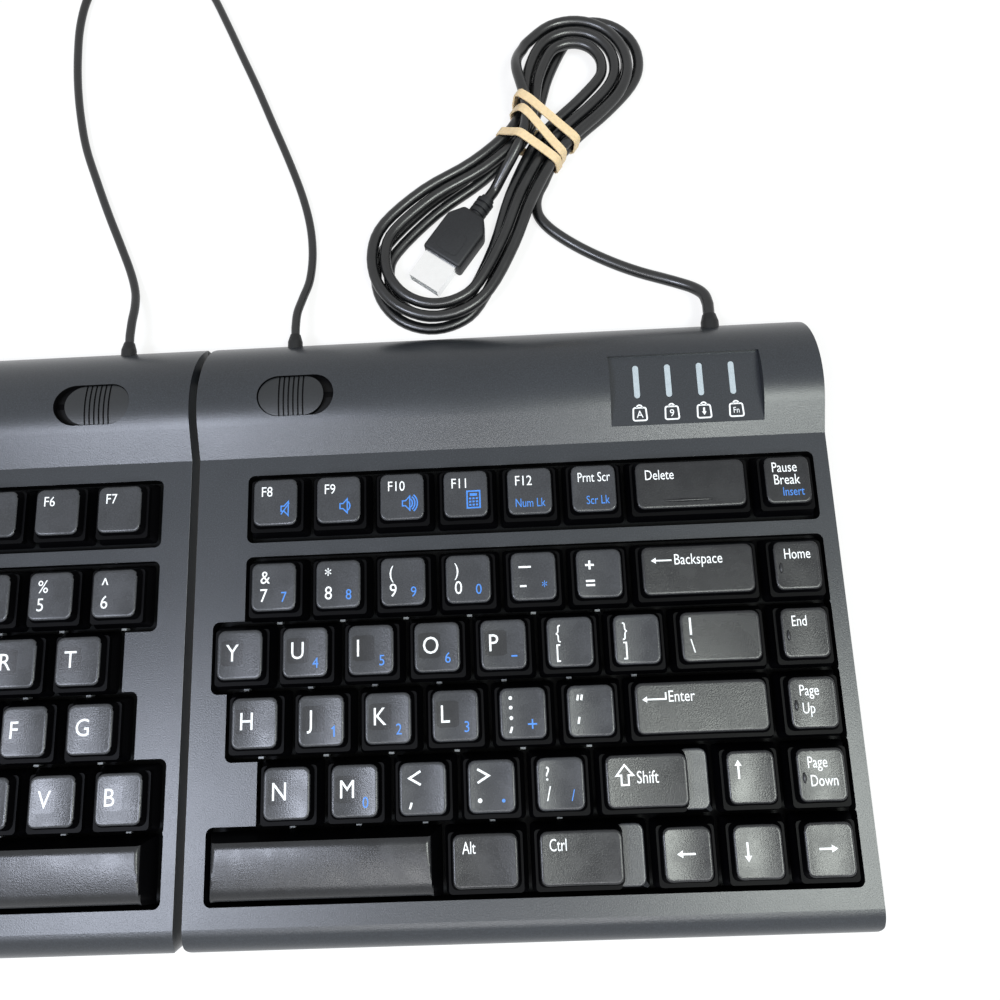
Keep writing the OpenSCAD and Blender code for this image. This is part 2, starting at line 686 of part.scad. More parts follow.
module screws() {
    head_z = floor_z + small_clear;
    for (p = screw_places) translate([p[0], p[1], 0]) {
        translate([0, 0, head_z - screw_head_h]) cylinder(r = screw_head_r, h = screw_head_h);
        translate([0, 0, head_z - 0.1]) cylinder(r = screw_r, h = seam_z + screw_reach - head_z);
    }
}

module feet() {
    for (p = foot_places) translate([p[0], p[1], 0]) cylinder(d = foot_d, h = base_z + foot_recess);
}

// Button in the slot, curved flange under the hump and an arm whose tongue covers the tether disc.
module release_slider() {
    button_x = slot_x + slider_clear + slider_l / 2;
    top_r_out = hump_r - slider_sink;
    flange_out = hump_r - case_wall - slider_clear;
    flange_t = 1.5;
    flange_w = slot_w + 3;
    flange_l = slot_l + 8;
    flange_in = flange_out - flange_t;
    groove_w = 0.5;
    groove_depth = 0.4;
    first_groove = button_x - (groove_count - 1) * groove_pitch / 2;
    arm_t = 3;
    arm_x = slot_x - arm_t - small_clear;
    arm_lap = 0.6;
    arm_knee = 6;
    arm_low = 3.5;
    tongue_z = seam_z;
    tongue_half = 2;
    tongue_t = 1.5;
    tongue_lap = slider_travel - 0.8;
    tongue_tip = pivot_x + tether_r - tongue_lap;
    difference() {
        union() {
            intersection() {
                hump_ring(top_r_out, flange_in, button_x - slider_l, 2 * slider_l);
                translate([button_x, slot_y, 0]) linear_extrude(2 * hump_r) pill(slider_l, slider_w);
            }
            intersection() {
                hump_ring(flange_out, flange_in, button_x - flange_l, 2 * flange_l);
                translate([slot_x + slot_l / 2 - slider_travel / 2, slot_y, 0]) linear_extrude(2 * hump_r)
                    translate([-flange_l / 2, -flange_w / 2]) square([flange_l, flange_w]);
            }
            translate([arm_x, 0, 0]) rotate([90, 0, 90]) linear_extrude(arm_t) polygon([
                [slot_y + 1, tongue_z + arm_knee], [slot_y + 1, hump_z + flange_in + arm_lap],
                [slot_y + arm_knee, hump_z + flange_in - arm_lap],
                [pivot_y + tongue_half, tongue_z + arm_low],
                [pivot_y + tongue_half, tongue_z], [pivot_y - tongue_half, tongue_z]]);
            translate([tongue_tip, pivot_y - tongue_half, tongue_z])
                cube([arm_x + 1 - tongue_tip, 2 * tongue_half, tongue_t]);
        }
        for (i = [0:groove_count - 1])
            hump_ring(hump_r + 1, top_r_out - groove_depth,
                first_groove + i * groove_pitch - groove_w / 2, groove_w);
    }
}

module tether_link() color(black_colour) translate([0, 0, tether_z]) {
    h = tether_top - tether_z;
    for (x = [-pivot_x, pivot_x]) translate([x, pivot_y, 0]) cylinder(r = tether_r, h = h);
    translate([-pivot_x, pivot_y - web_w / 2, 0]) cube([2 * pivot_x, web_w, h]);
}

module lens_row(l, w, z, h) {
    for (i = [0:lens_count - 1]) translate([lens_x + i * lens_pitch, lens_y, z]) rotate(90)
        linear_extrude(h) pill(l, w);
}

module light_pipes() color("#c3cdd6") {
    pipe_z = board_z + board_t + led_h + seat_clear;
    tray_z = recess_z - tray_t;
    lens_row(lens_l, lens_w, pipe_z, recess_z - pipe_z);
    flange_t = 1.2;
    flange_out = 2;
    lens_row(lens_l + flange_out, lens_w + flange_out, tray_z - flange_t, flange_t);
}

module controller_board() color("#2f6b46") {
    translate([board_x, board_y, board_z]) cube([board_l, board_w, board_t]);
    led_w = 2;
    led_l = 3;
    chip_l = 10;
    chip_w = 5;
    chip_h = 1.2;
    for (i = [0:lens_count - 1])
        translate([lens_x + i * lens_pitch - led_w / 2, lens_y - led_l / 2, board_z])
            cube([led_w, led_l, board_t + led_h]);
    translate([board_x + (board_l - chip_l) / 2, board_y + 1, board_z])
        cube([chip_l, chip_w, board_t + chip_h]);
}

// Grommet turned about the cord: a collar inside the wall, a neck in it and a taper outside.
module strain_relief(x, d) color(black_colour) {
    neck_r = d / 2 + relief_wall;
    collar_y = relief_root - case_wall - 3;
    collar_t = 1.5;
    neck_out = 1.5;
    translate([x, 0, seam_z]) rotate([-90, 0, 0]) rotate_extrude() polygon([
        [0, collar_y - collar_t], [neck_r + 1, collar_y - collar_t], [neck_r + 1, collar_y], [neck_r, collar_y],
        [neck_r, relief_root + neck_out], [d / 2 + seat_clear, relief_end], [0, relief_end]]);
}

module link_cord() color(black_colour)
    tube(concat([link_start], smooth(link_route, 2), [link_end]), link_d, 8);
module usb_lead() color(black_colour) tube(lead_route, cord_d, 8);
module usb_hank() color(black_colour) tube(hank_points, cord_d, 6);

module on_hank(side) {
    translate([hank_at[0], hank_at[1], 0]) rotate(hank_angle) translate([0, side, 0]) children();
}

// Moulded plug body with a tapered tail and ribbed relief, lying along the hank in its lower loop.
plug_relief = 8;
plug_x = plug_at - plug_relief - plug_l;
module usb_plug() color(black_colour) on_hank(plug_side) {
    tail_l = 5;
    body_x = plug_x;
    rib_t = 1.4;
    rib_pitch = 2.1;
    rib_count = 3;
    translate([0, 0, plug_z - plug_h / 2]) linear_extrude(plug_h) polygon([
        [body_x, -plug_w / 2], [body_x + plug_l - tail_l, -plug_w / 2], [body_x + plug_l, -plug_h / 2],
        [body_x + plug_l, plug_h / 2], [body_x + plug_l - tail_l, plug_w / 2], [body_x, plug_w / 2]]);
    translate([plug_at - plug_relief - 1, 0, plug_z]) rotate([0, 90, 0])
        cylinder(d = cord_d + 1, h = plug_relief + 1);
    for (i = [0:rib_count - 1]) translate([plug_at - plug_relief + rib_pitch * i + 1, 0, plug_z])
        rotate([0, 90, 0]) cylinder(d = cord_d + 2.4, h = rib_t);
}

// Metal shell of the plug, open at its nose, round a half-height contact tongue.
shell_w = 12;
shell_h = 4.5;
shell_l = 10.5;
shell_t = 0.4;
shell_x = plug_x - shell_l;
module plug_shell() color("silver") on_hank(plug_side) {
    difference() {
        translate([shell_x, -shell_w / 2, plug_z - shell_h / 2]) cube([shell_l, shell_w, shell_h]);
        translate([shell_x - 1, -shell_w / 2 + shell_t, plug_z - shell_h / 2 + shell_t])
            cube([shell_l + 1 - shell_t, shell_w - 2 * shell_t, shell_h - 2 * shell_t]);
    }
}

module plug_tongue() color("#e8e6df") on_hank(plug_side) {
    gap = 0.05;
    translate([shell_x + 1, -shell_w / 2 + shell_t + gap, plug_z + gap])
        cube([shell_l - 1 - shell_t, shell_w - 2 * shell_t - 2 * gap, shell_h / 2 - shell_t - 2 * gap]);
}

// Rubber band stretched round the waist of the hank in three turns, each drawn round every strand it holds.
band_places = [9, 4, -2.4];
function right_turns(u) = u > 0
    ? [for (k = [0:floor(loops)]) k + 0.125 * u / upper_run[level_of(k)]]
    : [for (k = [0:floor(loops) - 1]) k + 1 + 0.125 * u / lower_run[level_of(k)]];
function left_turns(u) = [for (k = [0:floor(loops) - 1])
    k + 0.5 - 0.125 * u / (u > 0 ? upper_run[level_of(k)] : lower_run[level_of(k)])];
function strands_at(u) = concat([loop_point(0)],
    [for (t = concat(right_turns(u), left_turns(u))) loop_point(t)],
    [for (slant = [-0.5, 0.5])
        [u, slant + lookup(u, [for (p = tail) [p[0], p[1]]]), lookup(u, [for (p = tail) [p[0], p[2]]])]]);
module rubber_band() color("#dcc39a") on_hank(0)
    for (u = band_places) translate([u - band_w / 2, 0, 0]) rotate([90, 0, 90]) linear_extrude(band_w)
        difference() {
            band_outline(u, band_t);
            band_outline(u, 0);
        }

module band_outline(u, grow) {
    slack = 0.1;
    slant = 0.45;
    hull() for (end = [-band_w / 2, band_w / 2]) for (p = strands_at(u + end)) for (side = [-slant, slant])
        translate([p[1] + side, p[2]]) circle(cord_d / 2 + slack + grow, $fn = 16);
}

// Rounded rectangle of twelve points, used for the rings of a cap.
function cap_ring(x0, y0, x1, y1, r) = [for (c = [0:3]) for (k = [0:2])
    let (a = 90 * c + 45 * k, cx = c == 0 || c == 3 ? x1 - r : x0 + r, cy = c < 2 ? y1 - r : y0 + r)
    [cx + r * cos(a), cy + r * sin(a)]];
function lift(ring, z) = [for (p = ring) [p[0], p[1], z]];
function sag(ring, x0, x1, z) = let (mid = (x0 + x1) / 2, half = (x1 - x0) / 2)
    [for (p = ring) [p[0], p[1], z - dish * (1 - pow((p[0] - mid) / half, 2))]];

// Hollow tapered cap with a dished top and a rounded edge, lofted through inner and outer rings.
module cap(x0, x1, h, dished, lean = front_taper) {
    n = 12;
    y1 = cap_depth / 2;
    share = h / cap_height;
    side = side_taper * share;
    front = lean * share;
    back = back_taper * share;
    roof = h - cap_wall - (dished ? dish : 0);
    in_share = roof / h;
    outer_low = cap_ring(x0, -y1, x1, y1, skirt_r);
    half_edge = edge_r / 2;
    outer_edge = cap_ring(x0 + side - half_edge, front - half_edge - y1,
        x1 - side + half_edge, y1 - back + half_edge, top_r + half_edge);
    outer_top = cap_ring(x0 + side + half_edge, front + half_edge - y1,
        x1 - side - half_edge, y1 - back - half_edge, top_r - half_edge);
    inner_low = cap_ring(x0 + cap_wall, cap_wall - y1, x1 - cap_wall, y1 - cap_wall, skirt_r);
    inner_top = cap_ring(x0 + side * in_share + cap_wall, front * in_share + cap_wall - y1,
        x1 - side * in_share - cap_wall, y1 - back * in_share - cap_wall, skirt_r);
    points = concat(lift(inner_top, roof), lift(inner_low, 0), lift(outer_low, 0),
        dished ? sag(outer_edge, x0 + side, x1 - side, h - edge_r) : lift(outer_edge, h - edge_r),
        dished ? sag(outer_top, x0 + side, x1 - side, h) : lift(outer_top, h));
    walls = [for (ring = [0:3]) for (i = [0:n - 1])
        let (a = ring * n, j = (i + 1) % n) [a + i, a + n + i, a + n + j, a + j]];
    top = [[4, 7, 6, 5], [3, 8, 7, 4], [2, 9, 8, 3], [1, 10, 9, 2], [0, 11, 10, 1]];
    polyhedron(points, concat([[for (i = [0:n - 1]) i]], walls,
        [for (f = top) [for (i = f) 4 * n + i]]));
}

// One key at its place: cap, optional low ledge at its right, and its stems.
module key(k, row, field_x, stepped = false, bar = false) {
    half = (k[1] * key_pitch - key_gap) / 2;
    stem_top = cap_height - dish - cap_wall / 2;
    rest_z = stem_z - skirt_z;
    main_end = stepped ? half - ledge_w : half;
    translate([field_x + k[0] * key_pitch, row_y(row), skirt_z]) union() {
        cap(-half, main_end, cap_height, !bar, bar ? bar_taper : front_taper);
        if (stepped) cap(main_end - side_taper - cap_wall, half, ledge_h, false);
        for (x = k[1] >= wide_key ? [-1, 0, 1] : [0])
            translate([x * (k[1] * key_pitch / 2 - guide_inset), 0, rest_z])
                cylinder(d = stem_d, h = stem_top - rest_z);
    }
}

module right_set(keys, row, stepped = false, bar = false) color(key_colour) {
    for (k = keys) key(k, row, right_field_x, stepped, bar);
}

module left_set(keys, row, bar = false) color(key_colour) {
    for (k = keys) key(k, row, left_field_x, bar = bar);
}

module nav_key(row, back = 0) right_set([[nav_column - back, 1]], row);

module hot_keys() {
    for (row = [number_row:space_row]) left_set(hot_columns, row);
}

module left_edge_keys() {
    left_set(tab, top_row);
    left_set(caps, home_row);
    left_set(left_shift, bottom_row);
}

right_top_case();
right_base();
color(grey_colour) key_plate(right_keys, right_field_x);  // right_key_plate
color("#c9c6bd") dome_sheet(right_keys, right_field_x);  // right_dome_sheet
color("#b8c4c0") membrane(right_field_x);  // right_membrane
color(case_colour) release_slider();  // right_release_slider
color(black_colour) feet();  // right_feet
color("silver") screws();  // right_screws
light_pipes();
controller_board();
left_top_case();
left_base();
color(grey_colour) key_plate(left_keys, left_field_x);  // left_key_plate
color("#c9c6bd") dome_sheet(left_keys, left_field_x);  // left_dome_sheet
color("#b8c4c0") membrane(left_field_x);  // left_membrane
color(case_colour) mirror([1, 0, 0]) release_slider();  // left_release_slider
color(black_colour) mirror([1, 0, 0]) feet();  // left_feet
color("silver") mirror([1, 0, 0]) screws();  // left_screws
tether_link();
strain_relief(link_x, link_d);  // right_link_relief
strain_relief(-link_x, link_d);  // left_link_relief
strain_relief(cord_x, cord_d);  // usb_relief
link_cord();
usb_lead();
usb_hank();
usb_plug();
plug_shell();
plug_tongue();
rubber_band();
right_set(right_function, function_row);  // right_function_keys
right_set(right_number, number_row);  // right_number_keys
right_set(right_top, top_row);  // right_top_letters
right_set(right_home, home_row);  // right_home_letters
right_set(right_bottom, bottom_row);  // right_bottom_letters
right_set(double_key, function_row);  // delete_key
right_set(double_key, number_row);  // backspace_key
right_set(backslash, top_row);  // backslash_key
right_set(enter, home_row);  // enter_key
right_set(right_shift, bottom_row, true);  // right_shift_key
right_set(right_ctrl, space_row, true);  // right_ctrl_key
right_set(right_alt, space_row);  // right_alt_key
right_set(right_space, space_row, bar = true);  // right_space_bar
nav_key(function_row);  // pause_key
nav_key(number_row);  // home_key
nav_key(top_row);  // end_key
nav_key(home_row);  // page_up_key
nav_key(bottom_row);  // page_down_key
nav_key(bottom_row, 1);  // up_arrow_key
nav_key(space_row, 2);  // left_arrow_key
nav_key(space_row, 1);  // down_arrow_key
nav_key(space_row);  // right_arrow_key
left_set(concat(hot_columns, left_function), function_row);  // left_function_keys
hot_keys();
left_set(left_number, number_row);  // left_number_keys
left_set(left_top, top_row);  // left_top_letters
left_set(left_home, home_row);  // left_home_letters
left_set(left_bottom, bottom_row);  // left_bottom_letters
left_edge_keys();
left_set(left_modifiers, space_row);  // left_modifier_keys
left_set(left_space, space_row, bar = true);  // left_space_bar
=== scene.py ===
import math
import bmesh
import bpy
from bpy.props import FloatProperty, FloatVectorProperty, PointerProperty
from mathutils import Matrix, Vector


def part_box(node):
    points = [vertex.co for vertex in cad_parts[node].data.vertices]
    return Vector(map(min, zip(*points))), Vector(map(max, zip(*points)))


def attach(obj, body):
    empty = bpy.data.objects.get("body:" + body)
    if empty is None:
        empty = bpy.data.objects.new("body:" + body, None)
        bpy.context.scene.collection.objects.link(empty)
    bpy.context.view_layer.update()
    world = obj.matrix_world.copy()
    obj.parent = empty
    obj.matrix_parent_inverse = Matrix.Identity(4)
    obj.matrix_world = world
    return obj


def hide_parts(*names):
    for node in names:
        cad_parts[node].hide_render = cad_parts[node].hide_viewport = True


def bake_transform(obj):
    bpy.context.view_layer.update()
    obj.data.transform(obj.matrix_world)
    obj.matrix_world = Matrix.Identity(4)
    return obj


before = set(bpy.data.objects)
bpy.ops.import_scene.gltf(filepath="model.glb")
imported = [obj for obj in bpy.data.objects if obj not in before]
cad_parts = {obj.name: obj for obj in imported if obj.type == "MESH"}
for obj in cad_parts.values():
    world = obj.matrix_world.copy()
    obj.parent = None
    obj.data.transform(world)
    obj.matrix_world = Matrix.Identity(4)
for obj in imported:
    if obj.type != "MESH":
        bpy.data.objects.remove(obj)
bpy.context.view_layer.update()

bl_info = {
    "name": "Split keyboard looks",
    "version": (1, 0, 0),
    "blender": (4, 5, 0),
    "location": "View3D > Sidebar > Keyboard",
    "description": "Dresses the split keyboard: caps, legends, cases, cords and stage",
    "category": "Object",
}

MM = 0.001
RIGHT = "right_half"
LEFT = "left_half"

# Sizes below are millimetres, as in the part's source.
KEY_PITCH = 19.05
KEY_GAP = 0.85
CAP_DEPTH = 18.2
SKIRT_Z = 15.2
SIDE_TAPER = 2.85
FRONT_TAPER = 3.25
BAR_TAPER = 1.2
BACK_TAPER = 1.65
STEM_Z = 8.2
RIGHT_FIELD = 8.0
LEFT_FIELD = -187.025
ROW_Y = {"function": 33.8, "number": 8.7, "top": -10.35, "home": -29.4, "bottom": -48.45,
         "space": -67.5}
LEDGE_WIDTH = 6.7
LEDGE_HEIGHT = 3.6
CREASE_Y = 49.9
RECESS_FLOOR = 17.6
HUMP_RADIUS = 24.0
HUMP_Y = 67.55
HUMP_Z = -3.1
LENS_X = 137.95
LENS_PITCH = 9.85
LENS_Y = 68.25
SIGN_ASIDE = 0.4
SIGN_DROP = 10.3
RELIEF_END = 93.32
OUTLET_Z = 7.0
LINK_X = 28.0
# Faces of the slider deeper than this below the hump get painted shade.
PAD_DEPTH = 0.75
CORD_X = 164.975
PLATE_TOP = 11.5
CAP_WALL = 1.2
CAP_ROOF = 2.4
INNER_CORNER = 1.0
SKIRT_CORNER = 1.2
TOP_CORNER = 1.8
STEM_RADIUS = 3
STEPPED_TAPER = 1
# Faces of a key that look up less than this are its sides, which have the third finish: a near-black
# painted shade.
SIDE_FACING = 0.55
SIDE_SHADE = 2
FLECK_PITCH = 0.7
MERGE = 1e-6


def length(name, description, millimetres):
    return FloatProperty(name=name, description=description, default=millimetres * MM, unit="LENGTH",
                         precision=5)


class KeyboardSizes(bpy.types.PropertyGroup):
    """Sizes a user would change, in metres."""
    cap_height: length("Cap height", "Skirt to the rim of the key top", 7.2)
    cap_edge: length("Cap edge radius", "Rounding of the key top's rim", 0.7)
    cap_dish: length("Dish", "Depth of the hollow in a key top", 0.4)
    case_edge: length("Case edge radius", "Rounding of the case's edges", 0.45)
    link_diameter: length("Link cord diameter", "Cord between the halves", 2.8)
    lead_diameter: length("Lead diameter", "Cord to the computer", 3.8)


def linear(code):
    """A hex sRGB colour as linear red, green, blue and alpha."""
    parts = [int(code[i:i + 2], 16) / 255 for i in (1, 3, 5)]
    return tuple(c / 12.92 if c <= 0.04045 else ((c + 0.055) / 1.055) ** 2.4 for c in parts) + (1.0,)


def colour(code, name, description):
    return FloatVectorProperty(name=name, description=description, default=linear(code), size=4,
                               subtype="COLOR", min=0, max=1)


class KeyboardColours(bpy.types.PropertyGroup):
    """Colours a user would change."""
    case: colour("#282b2f", "Case", "Moulded top cases")
    base: colour("#18191b", "Base", "Moulded base trays")
    key_top: colour("#1d1e20", "Key tops", "Satin tops of the keys")
    # The keys' sides are the same plastic as their tops: this near-black is painted shade.
    key_side_shade: colour("#020203", "Key side shade", "Painted shade on the key skirts")
    ink: colour("#eef0f0", "Legends", "Printed letters")
    second_ink: colour("#3f7fd0", "Second legends", "Printed second functions")
    slider: colour("#1f2123", "Sliders", "Release sliders")
    cord: colour("#0b0c0d", "Cords", "Cord jackets")
    band: colour("#dcc39a", "Band", "Rubber band")


def add(tree, kind, links=(), **settings):
    """A new node: settings are its properties, links pairs of input and value or socket."""
    node = tree.nodes.new(kind)
    for name, value in settings.items():
        setattr(node, name, value)
    for socket, value in links:
        if isinstance(value, bpy.types.NodeSocket):
            tree.links.new(value, node.inputs[socket])
        else:
            node.inputs[socket].default_value = value
    return node


def start_material(name, **values):
    """A material with one principled shader, its plain values set on the sockets."""
    material = bpy.data.materials.new(name)
    material.use_nodes = True
    shader = material.node_tree.nodes["Principled BSDF"]
    for socket, value in values.items():
        shader.inputs[socket.replace("_", " ")].default_value = value
    return material, material.node_tree, shader


def scaled(shade, factor):
    return tuple(min(1, c * factor) for c in shade[:3]) + (1.0,)


def object_place(tree):
    return add(tree, "ShaderNodeTexCoord").outputs["Object"]


def noise(tree, size, detail=2, roughness=0.5, place=None):
    """Noise in the piece's own axes, with grains of a size in millimetres."""
    node = add(tree, "ShaderNodeTexNoise", [("Vector", place or object_place(tree)),
                                            ("Scale", 1 / (size * MM)), ("Detail", detail),
                                            ("Roughness", roughness)])
    return node.outputs["Fac"]


def ranged(tree, value, low, high, start=0.3, end=0.7):
    """A value that runs from start to end, brought to run from low to high."""
    node = add(tree, "ShaderNodeMapRange", [("Value", value), ("From Min", start), ("From Max", end),
                                            ("To Min", low), ("To Max", high)])
    return node.outputs["Result"]


def mixed(tree, factor, one, two, **settings):
    """A colour mixed from two, which are the Mix node's sockets 6 and 7."""
    node = add(tree, "ShaderNodeMix", [("Factor", factor), (6, one), (7, two)], data_type="RGBA",
               **settings)
    return node.outputs[2]


def bumped(tree, height, strength):
    node = add(tree, "ShaderNodeBump", [("Height", height), ("Strength", strength),
                                        ("Distance", 0.1 * MM)])
    return node.outputs["Normal"]


def feed(tree, shader, **sockets):
    """Links outputs to the shader's inputs of those names."""
    for name, output in sockets.items():
        tree.links.new(output, shader.inputs[name.replace("_", " ")])


def grained(name, shade, grain_mm, light, rough, relief, cloud_mm=30, sparkle=0.0, shine=0.3,
            spread=0.03):
    """Moulded plastic: fine light grain in the colour, slow clouding and a pebbled surface."""
    material, tree, shader = start_material(name, IOR=1.5, Specular_IOR_Level=shine)
    grain = noise(tree, grain_mm, 2, 0.6)
    cloud = noise(tree, cloud_mm, 3)
    speckle = mixed(tree, ranged(tree, grain, 0, 1, 0.36, 0.68), scaled(shade, 1 / light),
                    scaled(shade, light))
    tint = mixed(tree, ranged(tree, cloud, 0, 1), (0.96, 0.96, 0.96, 1), (1.04, 1.04, 1.04, 1))
    result = mixed(tree, 1.0, speckle, tint, blend_type="MULTIPLY", clamp_result=True)
    if sparkle:
        fleck = add(tree, "ShaderNodeTexVoronoi", [("Vector", object_place(tree)),
                                                   ("Scale", 1 / (FLECK_PITCH * MM))])
        dots = ranged(tree, fleck.outputs["Distance"], sparkle, 0, 0.1, 0.22)
        result = mixed(tree, dots, result, scaled(shade, 3.2))
    feed(tree, shader, Base_Color=result, Normal=bumped(tree, grain, relief),
         Roughness=ranged(tree, cloud, rough - spread, rough + spread))
    return material


def case_abs(shade):
    """Spark-textured ABS: soft sheen with fine pale flecks, as on a moulded desk case."""
    # Real spark grain is near 0.1 mm: it is drawn at 0.4 mm so that it shows.
    return grained("Spark_textured_ABS", shade, 0.4, 1.28, 0.3, 0.35, sparkle=0.3, shine=0.4,
                   spread=0.02)


def base_abs(shade):
    """Plain textured ABS of the tray: darker and flatter than the top case."""
    return grained("Textured_ABS_tray", shade, 0.6, 1.15, 0.55, 0.4)


def slider_abs(shade):
    """Satin ABS of the sliders: even, with a soft sheen on the thumb pad."""
    return grained("Satin_ABS_slider", shade, 0.4, 1.12, 0.36, 0.3, shine=0.4)


def key_abs(name, shade):
    """Satin key ABS: fine grain, with patches worn smoother by fingers."""
    return grained(name, shade, 0.4, 1.25, 0.27, 0.35, cloud_mm=7, shine=0.35, spread=0.06)


def lacquered_abs(shade):
    """Clear lacquer over a print: a smoother, slightly lighter patch of the key top."""
    return grained("Lacquered_key_ABS", scaled(shade, 1.2), 0.4, 1.2, 0.25, 0.3, cloud_mm=7,
                   shine=0.42)


def print_ink(name, shade):
    """Pad-printed ink: a thin matt film, slightly uneven where it is worn."""
    material, tree, shader = start_material(name, Roughness=0.5, IOR=1.45)
    wear = ranged(tree, noise(tree, 0.8), 0, 1)
    feed(tree, shader, Base_Color=mixed(tree, wear, scaled(shade, 0.86), shade))
    return material


def cord_pvc(shade):
    """Extruded PVC jacket: glossy black, dulled in places by dust."""
    material, tree, shader = start_material("Extruded_PVC_jacket", IOR=1.53)
    dust = noise(tree, 5, 4)
    feed(tree, shader, Base_Color=mixed(tree, dust, scaled(shade, 0.7), scaled(shade, 1.5)),
         Roughness=ranged(tree, dust, 0.24, 0.36), Normal=bumped(tree, dust, 0.15))
    return material


def band_latex(shade):
    """Natural rubber: translucent tan, matt, with a fine bloom of talc."""
    material, tree, shader = start_material("Natural_rubber", Roughness=0.6, IOR=1.5,
                                            Subsurface_Weight=0.15,
                                            Subsurface_Radius=(0.002, 0.0014, 0.0008))
    talc = noise(tree, 1.2, 4)
    feed(tree, shader, Base_Color=mixed(tree, talc, scaled(shade, 0.78), scaled(shade, 1.14)),
         Normal=bumped(tree, talc, 0.3))
    return material


def plated_steel(name, shade, rough):
    """Bright plated steel: fine brushed streaks along the sheet."""
    material, tree, shader = start_material(name, Metallic=1.0)
    turned = add(tree, "ShaderNodeMapping", [("Vector", object_place(tree)), ("Scale", (1, 1, 6))])
    streak = noise(tree, 1.5, 4, place=turned.outputs["Vector"])
    feed(tree, shader, Base_Color=mixed(tree, streak, scaled(shade, 0.95), shade),
         Roughness=ranged(tree, streak, rough * 0.92, rough * 1.08))
    return material


def frosted_polycarbonate(shade):
    """Light pipe: pale milky polycarbonate with a soft skin."""
    material, tree, shader = start_material("Frosted_polycarbonate", Roughness=0.3, IOR=1.58,
                                            Subsurface_Weight=0.3,
                                            Subsurface_Radius=(0.002, 0.002, 0.002))
    milk = noise(tree, 2)
    feed(tree, shader, Base_Color=mixed(tree, milk, scaled(shade, 0.85), scaled(shade, 1.1)))
    return material


MATERIALS = {}


def finishes(colours):
    """Every material, made once."""
    if MATERIALS:
        return MATERIALS
    top = tuple(colours.key_top)
    MATERIALS.update({
        "case": case_abs(tuple(colours.case)),
        "base": base_abs(tuple(colours.base)),
        # Near-black painted shade for the walls of the key wells, the slider's slot and the slider's
        # flange.
        "well": grained("Black_ABS_well", linear("#050506"), 0.6, 1.2, 0.5, 0.2, shine=0.1),
        "slider": slider_abs(tuple(colours.slider)),
        "key": key_abs("Satin_key_ABS", top),
        # The ledge is the key plastic made 2.6 times lighter: a painted highlight where the smoother
        # ledge catches the light.
        "ledge": key_abs("Painted_highlight_ledge_ABS", scaled(top, 2.6)),
        # Painted shade: the key plastic made near-black and dull on the skirts.
        "side": grained("Painted_shade_key_skirt_ABS", tuple(colours.key_side_shade), 0.6, 1.2, 0.45, 0.15,
                        shine=0.05),
        "lacquer": lacquered_abs(top),
        "ink": print_ink("Pad_printed_ink", tuple(colours.ink)),
        "second": print_ink("Second_pad_printed_ink", tuple(colours.second_ink)),
        "cord": cord_pvc(tuple(colours.cord)),
        "boot": grained("Moulded_PVC_boot", linear("#0e0f10"), 0.5, 1.2, 0.45, 0.3),
        "plug": grained("Matt_moulded_PVC", linear("#1a1b1d"), 0.5, 1.2, 0.5, 0.35),
        "band": band_latex(tuple(colours.band)),
        "shell": plated_steel("Bright_nickel_plate", linear("#f2f3f3"), 0.25),
        "screw": plated_steel("Zinc_plated_steel", linear("#b8bbbd"), 0.34),
        "pipe": frosted_polycarbonate(linear("#a9b3b8")),
        "plate": grained("Black_glass_filled_plate", linear("#0c0d0e"), 0.8, 1.15, 0.5, 0.2,
                         shine=0.1),
        "post": grained("Pale_acetal_rib", linear("#84878a"), 0.8, 1.05, 0.4, 0.1),
        "dome": grained("Silicone_dome_sheet", linear("#cfd2d0"), 1.5, 1.06, 0.45, 0.2),
        "film": grained("Printed_polyester_film", linear("#b9c2bd"), 2.5, 1.1, 0.3, 0.1),
        "foot": grained("Foot_rubber", linear("#1b1b1c"), 0.6, 1.25, 0.75, 0.5),
        "board": grained("Solder_masked_laminate", linear("#1e4a33"), 1.2, 1.2, 0.35, 0.2),
        "tongue": grained("White_contact_block", linear("#e6e6e2"), 0.8, 1.04, 0.45, 0.2),
    })
    return MATERIALS


def make_piece(name, mesh, *materials, smooth=35):
    """An object at the origin from a mesh whose place is in its points; smooth 0 keeps its edges."""
    for material in materials:
        if material.name not in mesh.materials:
            mesh.materials.append(material)
    for polygon in mesh.polygons:
        polygon.use_smooth = True
    if smooth:
        mesh.set_sharp_from_angle(angle=math.radians(smooth))
    obj = bpy.data.objects.new(name, mesh)
    bpy.context.scene.collection.objects.link(obj)
    return obj


def to_mesh(bm, name):
    mesh = bpy.data.meshes.new(name)
    bm.to_mesh(mesh)
    bm.free()
    return mesh


def dress(material, *nodes):
    """Gives carried-over CAD nodes their material."""
    for name in nodes:
        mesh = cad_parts[name].data
        mesh.materials.clear()
        mesh.materials.append(material)


def bridge(bm, low, high):
    """Quads between two closed rings of the same count."""
    count = len(low)
    for i in range(count):
        j = (i + 1) % count
        bm.faces.new((low[i], low[j], high[j], high[i]))


def chain_ring(x0, y0, x1, y1, radius, spans, corner=4):
    """A rounded rectangle, back edge then front edge, both with the same places along x."""
    places = []
    for i in range(corner + 1):
        turn = math.pi / 2 * i / corner
        places.append((x0 + radius * (1 - math.cos(turn)), radius * (1 - math.sin(turn))))
    for i in range(1, spans):
        places.append((x0 + radius + (x1 - x0 - 2 * radius) * i / spans, 0))
    for i in range(corner + 1):
        turn = math.pi / 2 * i / corner
        places.append((x1 - radius * (1 - math.sin(turn)), radius * (1 - math.cos(turn))))
    front = [(x, y0 + inset) for x, inset in places]
    back = [(x, y1 - inset) for x, inset in reversed(places)]
    return front + back


def ring_points(bm, outline, height):
    return [bm.verts.new((x * MM, y * MM, height(x, y) * MM)) for x, y in outline]


